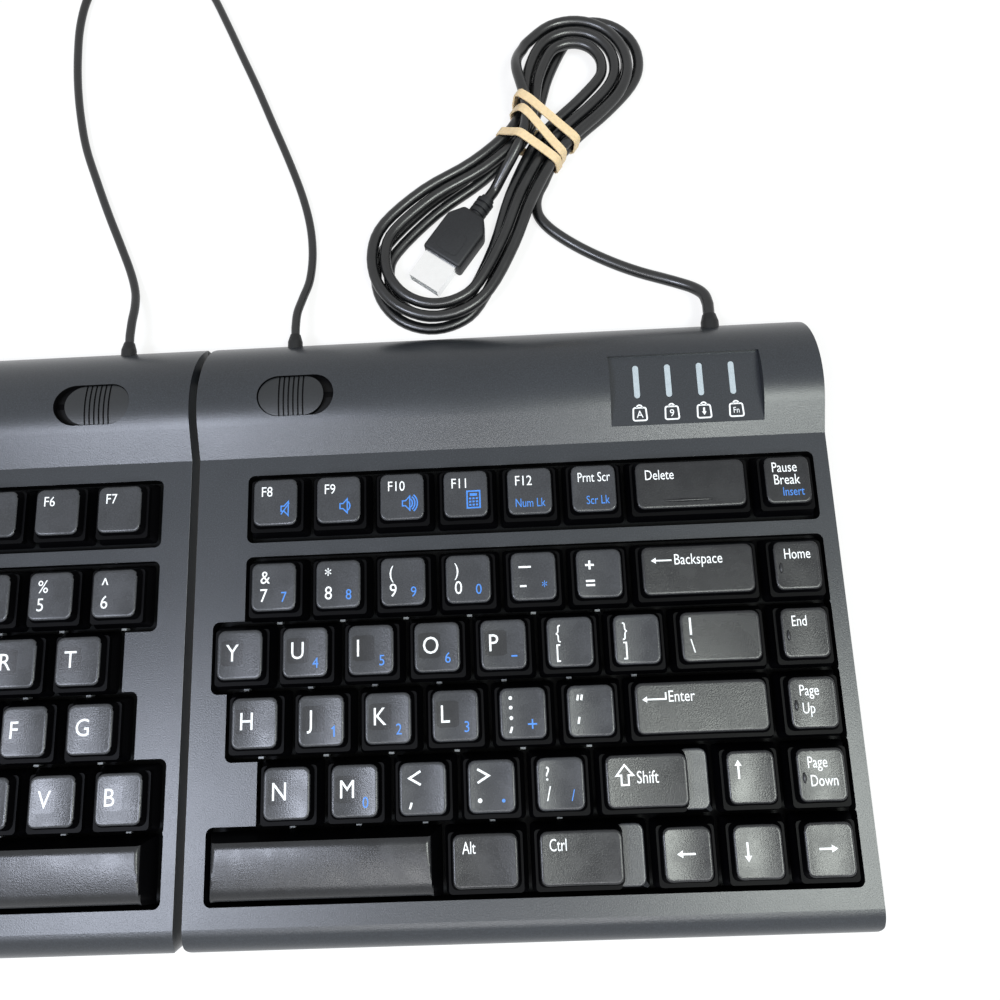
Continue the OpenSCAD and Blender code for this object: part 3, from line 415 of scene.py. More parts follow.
def lid(bm, ring, upward):
    """Closes a ring from chain_ring with strips that run front to back."""
    count = len(ring) // 2
    for i in range(count - 1):
        face = [ring[i], ring[i + 1], ring[2 * count - 2 - i], ring[2 * count - 1 - i]]
        bm.faces.new(face if upward else face[::-1])


def add_cap(bm, x0, x1, y0, y1, top, rim, dish, material, left=SIDE_TAPER, right=SIDE_TAPER,
            front=FRONT_TAPER, back=BACK_TAPER):
    """One keycap: sloped skirt, rounded rim, dished top, hollow underside."""
    before = len(bm.faces)
    spans = max(6, round((x1 - x0) / 3))
    middle = (x0 + left + x1 - right) / 2
    half = (x1 - right - x0 - left) / 2

    def dished(level):
        def height(x, y):
            part = min(1, abs(x - middle) / half)
            return level - dish * (1 - part * part)
        return height

    def flat(level):
        return lambda x, y: level

    rings = []
    inner = chain_ring(x0 + CAP_WALL, y0 + CAP_WALL, x1 - CAP_WALL, y1 - CAP_WALL, INNER_CORNER,
                       spans)
    rings.append(ring_points(bm, inner, flat(top - CAP_ROOF)))
    rings.append(ring_points(bm, inner, flat(SKIRT_Z)))
    rings.append(ring_points(bm, chain_ring(x0, y0, x1, y1, SKIRT_CORNER, spans), flat(SKIRT_Z)))
    steps = 4
    profile = [(-rim / 2 - 0.1, -rim - 0.25)]
    for i in range(steps + 1):
        turn = math.pi / 2 * i / steps
        profile.append((rim * (1 - math.cos(turn)) - rim / 2, rim * (math.sin(turn) - 1)))
    profile.append((rim / 2 + 0.3, 0))
    for inset, drop in profile:
        outline = chain_ring(x0 + left + inset, y0 + front + inset, x1 - right - inset,
                             y1 - back - inset, TOP_CORNER - inset, spans)
        rings.append(ring_points(bm, outline, dished(top + drop)))
    for low, high in zip(rings, rings[1:]):
        bridge(bm, low, high)
    lid(bm, rings[-1], True)
    lid(bm, rings[0], False)
    bm.faces.ensure_lookup_table()
    for face in bm.faces[before:]:
        face.material_index = material


def add_bar(bm, key, top):
    """A space bar: hipped ends and a top that rolls down towards the typist."""
    y0, y1 = key.y - CAP_DEPTH / 2, key.y + CAP_DEPTH / 2
    high = top - SKIRT_Z
    roll, lip_drop, edge_drop = 1.5, 1.3, 0.6
    lip_start, edge_end = 0.8, 0.06
    wall, hollow = 2.6, 4
    # From the end of the bar: how far in, and how high it may be there.
    ends = [(0, 0), (2.15, 5.5), (2.5, 6.3), (2.85, 6.8), (3.3, 7.08), (3.9, 7.2)]
    rows = 16
    sections = []
    for inset, limit in ends:
        limit *= high / ends[-1][1]
        front = y0 + BAR_TAPER * limit / high
        back = y1 - BACK_TAPER * limit / high
        line = []
        for i in range(rows + 1):
            part = i / rows
            lip = max(0, (part - lip_start) / (1 - lip_start))
            edge = max(0, (edge_end - part) / edge_end)
            level = high - roll * part ** 2 - lip_drop * lip ** 2 - edge_drop * edge ** 2
            line.append((inset, back + (front - back) * part, SKIRT_Z + max(0, min(limit, level))))
        sections.append(line)
    left, right = key.x - key.half, key.x + key.half
    places = [[(left + x, y, z) for x, y, z in line] for line in sections]
    places += [[(right - x, y, z) for x, y, z in line] for line in sections[::-1]]
    rings = []
    for line in places:
        low = [(line[0][0], y1, SKIRT_Z - 0.01), (line[0][0], y0, SKIRT_Z - 0.01)]
        ring = [low[0]] + line + [low[1]]
        rings.append([bm.verts.new(Vector(p) * MM) for p in ring])
    before = len(bm.faces)
    for near, far in zip(rings, rings[1:]):
        bridge(bm, near, far)
    bm.faces.new(rings[0][::-1])
    bm.faces.new(rings[-1])
    bm.normal_update()
    bm.faces.ensure_lookup_table()
    under = [face for face in bm.faces[before:] if face.normal.z < -0.9]
    floor = bmesh.ops.dissolve_faces(bm, faces=under)["region"]
    bmesh.ops.inset_individual(bm, faces=floor, thickness=wall * MM)
    roof = bmesh.ops.extrude_discrete_faces(bm, faces=floor)["faces"]
    corners = list({v for face in roof for v in face.verts})
    bmesh.ops.translate(bm, vec=(0, 0, hollow * MM), verts=corners)


def add_stem(bm, x, y, top):
    """The round post under a cap."""
    place = Matrix.Translation((x * MM, y * MM, (STEM_Z + top) / 2 * MM))
    bmesh.ops.create_cone(bm, cap_ends=True, segments=16, radius1=STEM_RADIUS * MM,
                          radius2=STEM_RADIUS * MM, depth=(top - STEM_Z) * MM, matrix=place)


class Key:
    """One key: its place, its width and what is printed on it."""

    def __init__(self, field, column, units, row, marks=(), stepped=False):
        self.x = field + column * KEY_PITCH
        self.y = ROW_Y[row]
        self.half = (units * KEY_PITCH - KEY_GAP) / 2
        self.marks = marks
        self.stepped = stepped
        self.units = units
        self.main = self.x + self.half - (LEDGE_WIDTH if stepped else 0)
        self.left = self.x - self.half + SIDE_TAPER
        self.right = self.main - (STEPPED_TAPER if stepped else SIDE_TAPER)
        self.back = self.y + CAP_DEPTH / 2 - BACK_TAPER
        self.front = self.y - CAP_DEPTH / 2 + FRONT_TAPER

    def top_at(self, x, sizes):
        """Height of the dished top at a place, in millimetres."""
        middle = (self.left + self.right) / 2
        part = min(1, abs(x - middle) / ((self.right - self.left) / 2))
        dish = sizes.cap_dish / MM
        return SKIRT_Z + sizes.cap_height / MM - dish * (1 - part * part)


def key_row(field, start, row, marks, units=1):
    return [Key(field, start + i * units, units, row, m) for i, m in enumerate(marks)]


def mark(**kinds):
    """What is printed on a key: kinds of STYLES with their words, or icon with its name."""
    return [(kind, words) for kind, words in kinds.items() if words]


def letter(sign, second=None):
    return mark(letter=sign, second=second)


def pair(upper, lower, second=None):
    return mark(upper=upper, lower=lower, second=second)


def lay_out():
    """Every key node and its keys."""
    right = RIGHT_FIELD
    left = LEFT_FIELD
    hot = [("Menu", "Calc"), ("Undo", "Redo"), ("Cut", "Copy"), ("Paste", "Find"), ("Back", "Next")]
    rows = ["number", "top", "home", "bottom", "space"]
    shift = mark(icon="shift", shift_word="Shift")
    return {
        "right_function_keys": key_row(right, 1, "function", [
            mark(name="F8", icon="mute"), mark(name="F9", icon="low"),
            mark(name="F10", icon="loud"), mark(name="F11", icon="calculator"),
            mark(name="F12", second_word="Num Lk"),
            mark(name_word="Prnt Scr", second_word="Scr Lk")]),
        "right_number_keys": key_row(right, 1, "number", [
            pair("&", "7", "7"), pair("*", "8", "8"), pair("(", "9", "9"), pair(")", "0", "0"),
            mark(icon="dashes", second="*"), pair("+", "=")]),
        "right_top_letters": key_row(right, 0.5, "top", [
            letter("Y"), letter("U", "4"), letter("I", "5"), letter("O", "6"), letter("P", "-"),
            pair("{", "["), pair("}", "]")]),
        "right_home_letters": key_row(right, 0.75, "home", [
            letter("H"), letter("J", "1"), letter("K", "2"), letter("L", "3"), pair(":", ";", "+"),
            pair("\"", "'")]),
        "right_bottom_letters": key_row(right, 1.25, "bottom", [
            letter("N"), letter("M", "0"), pair("<", ","), pair(">", ".", "."),
            pair("?", "/", "/")]),
        "delete_key": [Key(right, 7.5, 2, "function", mark(word="Delete"))],
        "backspace_key": [Key(right, 7.5, 2, "number", mark(icon="back", arrow_word="Backspace"))],
        "backslash_key": [Key(right, 7.75, 1.5, "top", pair("|", "\\"))],
        "enter_key": [Key(right, 7.375, 2.25, "home", mark(icon="return", arrow_word="Enter"))],
        "right_shift_key": [Key(right, 6.625, 1.75, "bottom", shift, True)],
        "right_ctrl_key": [Key(right, 5.625, 1.75, "space", mark(big_word="Ctrl"), True)],
        "right_alt_key": [Key(right, 4.125, 1.25, "space", mark(big_word="Alt"))],
        "right_space_bar": [Key(right, 1.75, 3.5, "space")],
        "pause_key": [Key(right, 9, 1, "function", mark(first_word="Pause", next_word="Break",
                                                        second_word="Insert"))],
        "home_key": [Key(right, 9, 1, "number", mark(nav_word="Home"))],
        "end_key": [Key(right, 9, 1, "top", mark(nav_word="End"))],
        "page_up_key": [Key(right, 9, 1, "home", mark(nav_word="Page", nav_next="Up"))],
        "page_down_key": [Key(right, 9, 1, "bottom", mark(nav_word="Page", nav_next="Down"))],
        "up_arrow_key": [Key(right, 8, 1, "bottom", mark(icon="up"))],
        "left_arrow_key": [Key(right, 7, 1, "space", mark(icon="left"))],
        "down_arrow_key": [Key(right, 8, 1, "space", mark(icon="down"))],
        "right_arrow_key": [Key(right, 9, 1, "space", mark(icon="right"))],
        "left_function_keys": key_row(left, 0.5, "function", [mark(name="Esc"), mark(name="Fn")])
        + key_row(left, 2.75, "function", [mark(name="F%d" % (i + 1)) for i in range(7)]),
        "hot_keys": [Key(left, 0.5 + side, 1, row, mark(name_word=words[side]))
                     for row, words in zip(rows, hot) for side in (0, 1)],
        "left_number_keys": key_row(left, 2.75, "number", [
            pair(upper, lower) for upper, lower in zip("~!@#$%^", "`123456")]),
        "left_top_letters": key_row(left, 4.25, "top", [letter(sign) for sign in "QWERT"]),
        "left_home_letters": key_row(left, 4.5, "home", [letter(sign) for sign in "ASDFG"]),
        "left_bottom_letters": key_row(left, 5, "bottom", [letter(sign) for sign in "ZXCVB"]),
        "left_edge_keys": [Key(left, 3, 1.5, "top", mark(word="Tab")),
                           Key(left, 3.125, 1.75, "home", mark(word="Caps Lock")),
                           Key(left, 3.375, 2.25, "bottom", shift)],
        "left_modifier_keys": key_row(left, 2.875, "space", [mark(big_word="Ctrl"), [],
                                                             mark(big_word="Alt")], 1.25),
        "left_space_bar": [Key(left, 7.75, 3.5, "space")],
    }


def point_cloud(name, places):
    mesh = bpy.data.meshes.new(name)
    mesh.from_pydata([(x * MM, y * MM, z * MM) for x, y, z in places], [], [])
    obj = bpy.data.objects.new(name, mesh)
    bpy.context.scene.collection.objects.link(obj)
    return obj


def repeat_tree():
    """Geometry nodes that put one shape on every point and realise the copies."""
    tree = bpy.data.node_groups.new("Repeat on points", "GeometryNodeTree")
    face = tree.interface
    face.new_socket("Geometry", in_out="INPUT", socket_type="NodeSocketGeometry")
    face.new_socket("Shape", in_out="INPUT", socket_type="NodeSocketObject")
    face.new_socket("Size", in_out="INPUT", socket_type="NodeSocketFloat")
    face.new_socket("Finish", in_out="INPUT", socket_type="NodeSocketMaterial")
    face.new_socket("Geometry", in_out="OUTPUT", socket_type="NodeSocketGeometry")
    start = add(tree, "NodeGroupInput")
    shape = add(tree, "GeometryNodeObjectInfo", [("Object", start.outputs["Shape"])])
    copies = add(tree, "GeometryNodeInstanceOnPoints", [
        ("Points", start.outputs["Geometry"]), ("Instance", shape.outputs["Geometry"]),
        ("Scale", start.outputs["Size"])])
    real = add(tree, "GeometryNodeRealizeInstances", [("Geometry", copies.outputs["Instances"])])
    finish = add(tree, "GeometryNodeSetMaterial", [("Geometry", real.outputs["Geometry"]),
                                                   ("Material", start.outputs["Finish"])])
    add(tree, "NodeGroupOutput", [("Geometry", finish.outputs["Geometry"])])
    return tree


def repeated(name, shape_mesh, places, material):
    """One plain mesh of a shape repeated at places, made by geometry nodes."""
    tree = bpy.data.node_groups.get("Repeat on points") or repeat_tree()
    shape = bpy.data.objects.new(name + "_shape", shape_mesh)
    bpy.context.scene.collection.objects.link(shape)
    points = point_cloud(name + "_points", places)
    modifier = points.modifiers.new("Repeat", "NODES")
    modifier.node_group = tree
    values = {"Shape": shape, "Size": 1.0, "Finish": material}
    for item in tree.interface.items_tree:
        if item.in_out == "INPUT" and item.name in values:
            modifier[item.identifier] = values[item.name]
    graph = bpy.context.evaluated_depsgraph_get()
    mesh = bpy.data.meshes.new_from_object(points.evaluated_get(graph))
    mesh.name = name
    points.modifiers.remove(modifier)
    bpy.data.objects.remove(points)
    bpy.data.objects.remove(shape)
    return mesh


STYLES = {
    # kind: cap height, side, from that side, edge, from that edge, narrowing, ink
    "letter": (4.7, "left", 2.2, "back", 3.7, 0.88, "ink"),
    "upper": (3.6, "left", 2.3, "back", 2.0, 0.88, "ink"),
    "lower": (3.7, "left", 2.3, "front", 2.4, 0.88, "ink"),
    "second": (2.9, "right", 2.4, "front", 2.2, 0.9, "second"),
    "name": (2.9, "left", 2.1, "back", 1.9, 0.86, "ink"),
    "name_word": (2.8, "left", 1.7, "back", 1.8, 0.72, "ink"),
    "second_word": (2.5, "right", 1.7, "front", 2.0, 0.74, "second"),
    "first_word": (2.9, "left", 2.0, "back", 1.3, 0.78, "ink"),
    "next_word": (2.9, "left", 2.3, "back", 5.0, 0.78, "ink"),
    "nav_word": (2.9, "left", 2.8, "back", 1.8, 0.72, "ink"),
    "nav_next": (2.9, "left", 3.2, "back", 6.6, 0.72, "ink"),
    "word": (2.9, "left", 2.6, "back", 2.0, 0.76, "ink"),
    "arrow_word": (3.0, "left", 9.2, "back", 2.0, 0.78, "ink"),
    "shift_word": (3.2, "left", 8.3, "back", 4.0, 0.74, "ink"),
    "big_word": (3.1, "left", 2.4, "back", 1.6, 0.66, "ink"),
}
# Heavy signs as strokes and dots from their left end and base line: width, lines, dots.
COMMA = [(0.75, 0.75), (0.55, 0.0), (0.2, -0.9)]
DRAWN_SIGNS = {
    "'": (0.9, [[(0.7, 2.7), (0.3, 0.9)]], []),
    "\"": (2.0, [[(0.6, 3.4), (0.3, 1.9)], [(1.7, 3.4), (1.4, 1.9)]], []),
    ":": (1.1, [], [(0.55, 0.6, 0.52), (0.55, 3.2, 0.52)]),
    ";": (1.1, [COMMA], [(0.62, 3.1, 0.52)]),
    ",": (1.1, [COMMA], []),
    ".": (1.3, [], [(0.65, 0.65, 0.62)]),
    "<": (3.3, [[(3.3, 3.6), (0.2, 1.8), (3.3, 0)]], []),
    ">": (3.3, [[(0.1, 3.6), (3.2, 1.8), (0.1, 0)]], []),
    "-": (1.7, [[(0, 1.2), (1.7, 1.2)]], []),
    "+": (2.6, [[(0, 1.5), (2.6, 1.5)], [(1.3, 0.2), (1.3, 2.8)]], []),
    "=": (2.6, [[(0, 1.0), (2.6, 1.0)], [(0, 2.2), (2.6, 2.2)]], []),
    "1": (0.9, [[(0, 2.15), (0.75, 2.75), (0.75, 0)]], []),
    "|": (0.6, [[(0.3, 4.4), (0.3, -0.4)]], []),
}
INK_LIFT = 0.03
FILM_LIFT = 0.015
FILM_MARGIN = 1.3
FILM_REACH = 5.0
FILM_ABOVE = 1.2
# Widths of drawn strokes in the first and the second ink, and the second ink's smaller dots.
STROKES = (0.6, 0.42)
DOTS = (1, 0.8)
INK_ROOT = -0.12


class Printer:
    """Collects flat marks in one mesh and lays them on a key top."""

    def __init__(self, height):
        self.bm = bmesh.new()
        self.height = height

    def prism(self, outline, ink, lift=INK_LIFT):
        """A closed flat shape from an outline that runs anticlockwise."""
        high = [self.bm.verts.new((x * MM, y * MM, (self.height(x) + lift) * MM))
                for x, y in outline]
        low = [self.bm.verts.new((x * MM, y * MM, (self.height(x) + INK_ROOT) * MM))
               for x, y in outline]
        bridge(self.bm, low, high)
        self.bm.faces.new(high)
        self.bm.faces.new(low[::-1])
        for vert in high + low:
            for face in vert.link_faces:
                face.material_index = ink

    def stroke(self, points, width, ink, closed=False):
        """A line of even width with mitred corners."""
        path = [Vector(p) for p in points]
        count = len(path)
        sides = []
        for i, here in enumerate(path):
            ahead = path[(i + 1) % count] if closed or i < count - 1 else None
            behind = path[i - 1] if closed or i else None
            one = (here - behind).normalized() if behind is not None else None
            two = (ahead - here).normalized() if ahead is not None else None
            one = one or two
            two = two or one
            middle = (one + two).normalized()
            across = Vector((-middle.y, middle.x))
            reach = width / 2 / max(0.35, across.dot(Vector((-one.y, one.x))))
            sides.append((here + across * reach, here - across * reach))
        for i in range(count if closed else count - 1):
            a, b = sides[i], sides[(i + 1) % count]
            self.prism([a[1], b[1], b[0], a[0]], ink)

    def patch(self, x0, y0, x1, y1, ink, strips=6):
        """A film patch with clipped corners, laid in strips so that it follows the dish."""
        clip = 0.5
        for i in range(strips):
            a = x0 + (x1 - x0) * i / strips
            b = x0 + (x1 - x0) * (i + 1) / strips
            one = clip if i == 0 else 0
            two = clip if i == strips - 1 else 0
            self.prism([(a, y0 + one), (b, y0 + two), (b, y1 - two), (a, y1 - one)], ink, FILM_LIFT)

    def dot(self, x, y, radius, ink):
        self.prism(arc(x, y, radius, 0, 337.5, 15), ink)

    def write(self, words, height, left, base, narrow, ink, right=None):
        """Text with its first stroke at left, or its last at right, on a base line."""
        if words in DRAWN_SIGNS:
            wide, lines, dots = DRAWN_SIGNS[words]
            left = left if right is None else right - wide
            for line in lines:
                self.stroke([(left + x, base + y) for x, y in line], STROKES[ink], ink)
            for x, y, radius in dots:
                self.dot(left + x, base + y, radius * DOTS[ink], ink)
            return
        glyphs, cap = text_shape(words)
        size = height / cap
        low = min(v[0] for v in glyphs[0])
        high = max(v[0] for v in glyphs[0])
        if right is not None:
            left = right - (high - low) * size * narrow
        made = []
        for x, y, z in glyphs[0]:
            px = left + (x - low) * size * narrow
            py = base + y * size
            lift = INK_LIFT if z > 0 else INK_ROOT
            made.append(self.bm.verts.new((px * MM, py * MM, (self.height(px) + lift) * MM)))
        for face in glyphs[1]:
            made_face = self.bm.faces.new([made[i] for i in face])
            made_face.material_index = ink


SHAPES = {}


def text_shape(words):
    """Points and faces of a word in the built-in font, and the font's cap height."""
    for body in (words, "H"):
        if body in SHAPES:
            continue
        curve = bpy.data.curves.new("legend", "FONT")
        curve.body = body
        curve.extrude = 0.05
        curve.resolution_u = 3
        obj = bpy.data.objects.new("legend", curve)
        bpy.context.scene.collection.objects.link(obj)
        graph = bpy.context.evaluated_depsgraph_get()
        mesh = bpy.data.meshes.new_from_object(obj.evaluated_get(graph))
        bm = bmesh.new()
        bm.from_mesh(mesh)
        bmesh.ops.remove_doubles(bm, verts=bm.verts, dist=1e-5)
        bm.verts.index_update()
        SHAPES[body] = ([tuple(v.co) for v in bm.verts],
                        [[v.index for v in f.verts] for f in bm.faces])
        bm.free()
        bpy.data.meshes.remove(mesh)
        bpy.data.objects.remove(obj)
    heights = [v[1] for v in SHAPES["H"][0]]
    return SHAPES[words], max(heights) - min(heights)


def arc(x, y, radius, start, end, steps=8):
    """Points of an arc, angles in degrees."""
    turns = [math.radians(start + (end - start) * i / steps) for i in range(steps + 1)]
    return [(x + radius * math.cos(t), y + radius * math.sin(t)) for t in turns]


def draw_arrow(pen, tail, tip, width, head, ink):
    """A line with a filled head at its tip."""
    a, b = Vector(tail), Vector(tip)
    along = (b - a).normalized()
    across = Vector((-along.y, along.x))
    neck = b - along * head
    pen.stroke([a, neck], width, ink)
    pen.prism([neck - across * head * 0.62, b, neck + across * head * 0.62], ink)


def draw_icon(pen, key, name):
    """A generic printed sign on a key."""
    ink, second = 0, 1
    x = (key.left + key.right) / 2
    y = (key.back + key.front) / 2
    if name in ("mute", "low", "loud"):
        x, y = x + {"mute": 3.2, "low": 1.9, "loud": 1.6}[name], y - 2.0
        cone = [(x - 1.5, y - 0.75), (x - 0.6, y - 0.75), (x + 0.7, y - 2.1), (x + 0.7, y + 2.1),
                (x - 0.6, y + 0.75), (x - 1.5, y + 0.75)]
        pen.stroke(cone, 0.36, second, True)
        for i in range({"mute": 0, "low": 1, "loud": 3}[name]):
            pen.stroke(arc(x - 0.2, y, 1.7 + 0.75 * i, -50, 50, 8), 0.4, second)
        if name == "mute":
            pen.stroke([(x - 1.5, y - 1.7), (x + 1.0, y + 1.7)], 0.36, second)
    elif name == "calculator":
        x, y = x + 2.3, y - 1.7
        pen.stroke([(x - 1.9, y - 2.5), (x + 1.9, y - 2.5), (x + 1.9, y + 2.5), (x - 1.9, y + 2.5)],
                   0.45, second, True)
        pen.stroke([(x - 1.1, y + 1.45), (x + 1.1, y + 1.45)], 0.8, second)
        for i in range(3):
            for j in range(3):
                u, v = x - 1.0 + i, y - 1.6 + 0.95 * j
                pen.stroke([(u - 0.32, v), (u + 0.32, v)], 0.55, second)
    elif name == "dashes":
        u, top, low = key.left + 2.0, key.back - 3.9, key.front + 3.9
        pen.stroke([(u, top), (u + 3.6, top)], 0.55, ink)
        pen.stroke([(u + 0.2, low), (u + 2.1, low)], 0.55, ink)
    elif name == "back":
        v = key.back - 3.7
        draw_arrow(pen, (key.left + 8.4, v), (key.left + 2.4, v), 0.45, 1.4, ink)
    elif name == "return":
        v = key.back - 4.2
        pen.stroke([(key.left + 8.4, v + 1.8), (key.left + 8.4, v), (key.left + 4, v)], 0.45, ink)
        draw_arrow(pen, (key.left + 7, v), (key.left + 1.7, v), 0.45, 1.4, ink)
    elif name == "shift":
        u, v = key.left + 5.0, key.back - 4.9
        pen.stroke([(u - 1.0, v - 2.6), (u + 1.0, v - 2.6), (u + 1.0, v - 0.1), (u + 2.3, v - 0.1),
                    (u, v + 2.6), (u - 2.3, v - 0.1), (u - 1.0, v - 0.1)], 0.5, ink, True)
    else:
        run = {"up": (0, 1), "down": (0, -1), "left": (-1, 0), "right": (1, 0)}[name]
        shift = {"up": (-3.4, 2.2), "down": (-2.9, 0.1), "left": (-0.4, 0.1),
                 "right": (-0.4, 0.3)}[name]
        u, v = x + shift[0], y + shift[1]
        draw_arrow(pen, (u - run[0] * 2.5, v - run[1] * 2.5), (u + run[0] * 2.5, v + run[1] * 2.5),
                   0.55, 1.6, ink)


def print_key(pen, key):
    """All marks of one key."""
    for kind, text in key.marks:
        if kind == "icon":
            draw_icon(pen, key, text)
            continue
        height, side, inset, edge, drop, narrow, ink = STYLES[kind]
        base = key.back - drop - height if edge == "back" else key.front + drop
        number = 1 if ink == "second" else 0
        if kind == "letter":
            start = key.left + inset
            pen.patch(start - FILM_MARGIN, base - FILM_MARGIN, start + FILM_REACH,
                      base + height + FILM_ABOVE, 2)
        if side == "left":
            pen.write(text, height, key.left + inset, base, narrow, number)
        else:
            pen.write(text, height, 0, base, narrow, number, key.right - inset)


def catmull(points, steps):
    """A smooth path through points."""
    ends = [2 * points[0] - points[1]] + list(points) + [2 * points[-1] - points[-2]]
    path = []
    for i in range(1, len(ends) - 2):
        p0, p1, p2, p3 = ends[i - 1:i + 3]
        for k in range(steps):
            t = k / steps
            path.append(0.5 * (2 * p1 + (p2 - p0) * t + (2 * p0 - 5 * p1 + 4 * p2 - p3) * t * t
                               + (3 * p1 - p0 - 3 * p2 + p3) * t ** 3))
    path.append(points[-1])
    return path


def tube(path, radius, sides=14):
    """A closed tube along a path, its rings carried without twist."""
    bm = bmesh.new()
    normal = None
    rings = []
    for i, point in enumerate(path):
        along = (path[min(i + 1, len(path) - 1)] - path[max(i - 1, 0)]).normalized()
        if normal is None:
            normal = along.orthogonal().normalized()
        normal = (normal - along * normal.dot(along)).normalized()
        other = along.cross(normal)
        ring = []
        for k in range(sides):
            turn = 2 * math.pi * k / sides
            ring.append(bm.verts.new(point + (normal * math.cos(turn) + other * math.sin(turn))
                                     * radius))
        rings.append(ring)
    for low, high in zip(rings, rings[1:]):
        bridge(bm, low, high)
    bm.faces.new(rings[0][::-1])
    bm.faces.new(rings[-1])
    return bm


def hull(points):
    """Convex outline of flat points, anticlockwise."""
    ordered = sorted(set((round(p[0], 4), round(p[1], 4)) for p in points))
    sides = []
    for run in (ordered, ordered[::-1]):
        chain = []
        for p in run:
            while len(chain) > 1 and ((chain[-1][0] - chain[-2][0]) * (p[1] - chain[-2][1])
                                      <= (chain[-1][1] - chain[-2][1]) * (p[0] - chain[-2][0])):
                chain.pop()
            chain.append(p)
        sides += chain[:-1]
    return sides


def hank_axes(point):
    """A place in the hank's own axes, in millimetres."""
    return HANK_TURN.inverted() @ (point / MM - HANK_AT)


def wrap_place(strands, u, wide, part):
    """Where a band pulled tight round the strands at u lies: part 0 left, a quarter top, half right."""
    reach, sides = 20, 24
    cuts = []
    for a, b in zip(strands, strands[1:]):
        for level in (u - wide / 2, u, u + wide / 2):
            if (a.x - level) * (b.x - level) <= 0 and abs(a.x - b.x) > 1e-6:
                place = a.lerp(b, (level - a.x) / (b.x - a.x))
                if abs(place.y) < reach:
                    cuts.append((place.y, place.z))
    ring = []
    for y, z in cuts:
        ring += arc(y, z, CORD_GRIP, 0, 360 - 360 / sides, sides - 1)
    outline = [Vector(p) for p in hull(ring)]
    first = min(range(len(outline)), key=lambda i: -outline[i].x + abs(outline[i].y - 6) * 0.01)
    outline = outline[first:] + outline[:first + 1]
    right = min(range(len(outline)), key=lambda i: outline[i].x)
    half = outline[:right + 1] if part < 0.5 else outline[right:]
    share = part * 2 if part < 0.5 else part * 2 - 1
    total = sum((b - a).length for a, b in zip(half, half[1:]))
    left = share * total
    for a, b in zip(half, half[1:]):
        step = (b - a).length
        if left <= step and step > 0:
            along = (b - a) / step
            return a + along * left, Vector((along.y, -along.x))
        left -= step
    along = (half[-1] - half[-2]).normalized()
    return half[-1], Vector((along.y, -along.x))


def link_route():
    """The cord between the halves: out of one boot, round a loose loop, into the other."""
    low = 1.45
    start = Vector((-LINK_X, RELIEF_END, OUTLET_Z))
    end = Vector((LINK_X, RELIEF_END, OUTLET_Z))
    straight = Vector((0, 2.8, 0))
    floor = [(-32, 122), (-36, 132), (-41, 144), (-46, 157), (-51, 171), (-54, 184), (-56, 197),
             (-57, 210), (-57, 223), (-55, 235), (-50, 246), (-42, 254), (-32, 256), (-22, 252),
             (-14, 244), (-7, 233), (-1, 220), (5, 206), (11, 192), (17, 177), (23, 162),
             (28, 148), (31, 136), (32, 125)]
    points = [start + straight, Vector((-28, 101.5, 6.2)), Vector((-28.2, 107.5, 4.4)),
              Vector((-29.4, 114, 2.4))]
    points += [Vector((x, y, low)) for x, y in floor]
    points += [Vector((31.4, 115, 2.4)), Vector((29.6, 107.5, 4.4)), Vector((28.3, 101.5, 6.2)),
               end + straight]
    return [p * MM for p in [start] + catmull(points, 5) + [end]]


HANK_AT = Vector((109.5, 160.5, 0))
HANK_TURN = Matrix.Rotation(math.radians(53.5), 4, "Z")
HANK_LOW = 1.95
# Half the lead's thickness with a little room.
CORD_GRIP = 2.0
# Runs and leans are for the lower and the upper layer of loops.
LOWER_RUN = (58, 53)
UPPER_RUN = (41, 33)
LOWER_LEAN = (1, 3.5)
UPPER_LEAN = (1.5, 3.5)
LOWER_BEND = 23
UPPER_BEND = 18
WAIST_HALF = 10.4
WAIST_LIFT = 1.3
LOOP_STEP = 4.5
LAYER_STEP = 4.3
LOOPS = 4.375
TURN_BACK = 2
TAIL = [(29.2, 23.1, 6.7), (25.4, 22.4, 7.9), (21.8, 20.8, 9.7), (18.2, 18, 11.4), (14.5, 14, 12.3),
        (10.8, 9.8, 12.5), (7, 6.3, 12.4), (2.6, 3.7, 12.2), (-2, 2.1, 11.9), (-6.3, 1.3, 11.1),
        (-10.5, 1, 9.7), (-14.5, 1, 7.8), (-18, 1, 5.9), (-21.2, 1, 4.3), (-25, 1, 4.3)]


def hank_place(point):
    return HANK_AT + HANK_TURN @ Vector(point)


def waist(u, level):
    run = UPPER_RUN[level] if u > 0 else LOWER_RUN[level]
    return math.cos(math.pi / 2 * u / run) ** 2


def run_half(u, inset, level):
    bend = UPPER_BEND if u > 0 else LOWER_BEND
    return bend - (bend - WAIST_HALF) * waist(u, level) - inset


def run_lean(u, level):
    lean = UPPER_LEAN[level] if u > 0 else LOWER_LEAN[level]
    return lean * (1 - waist(u, level))


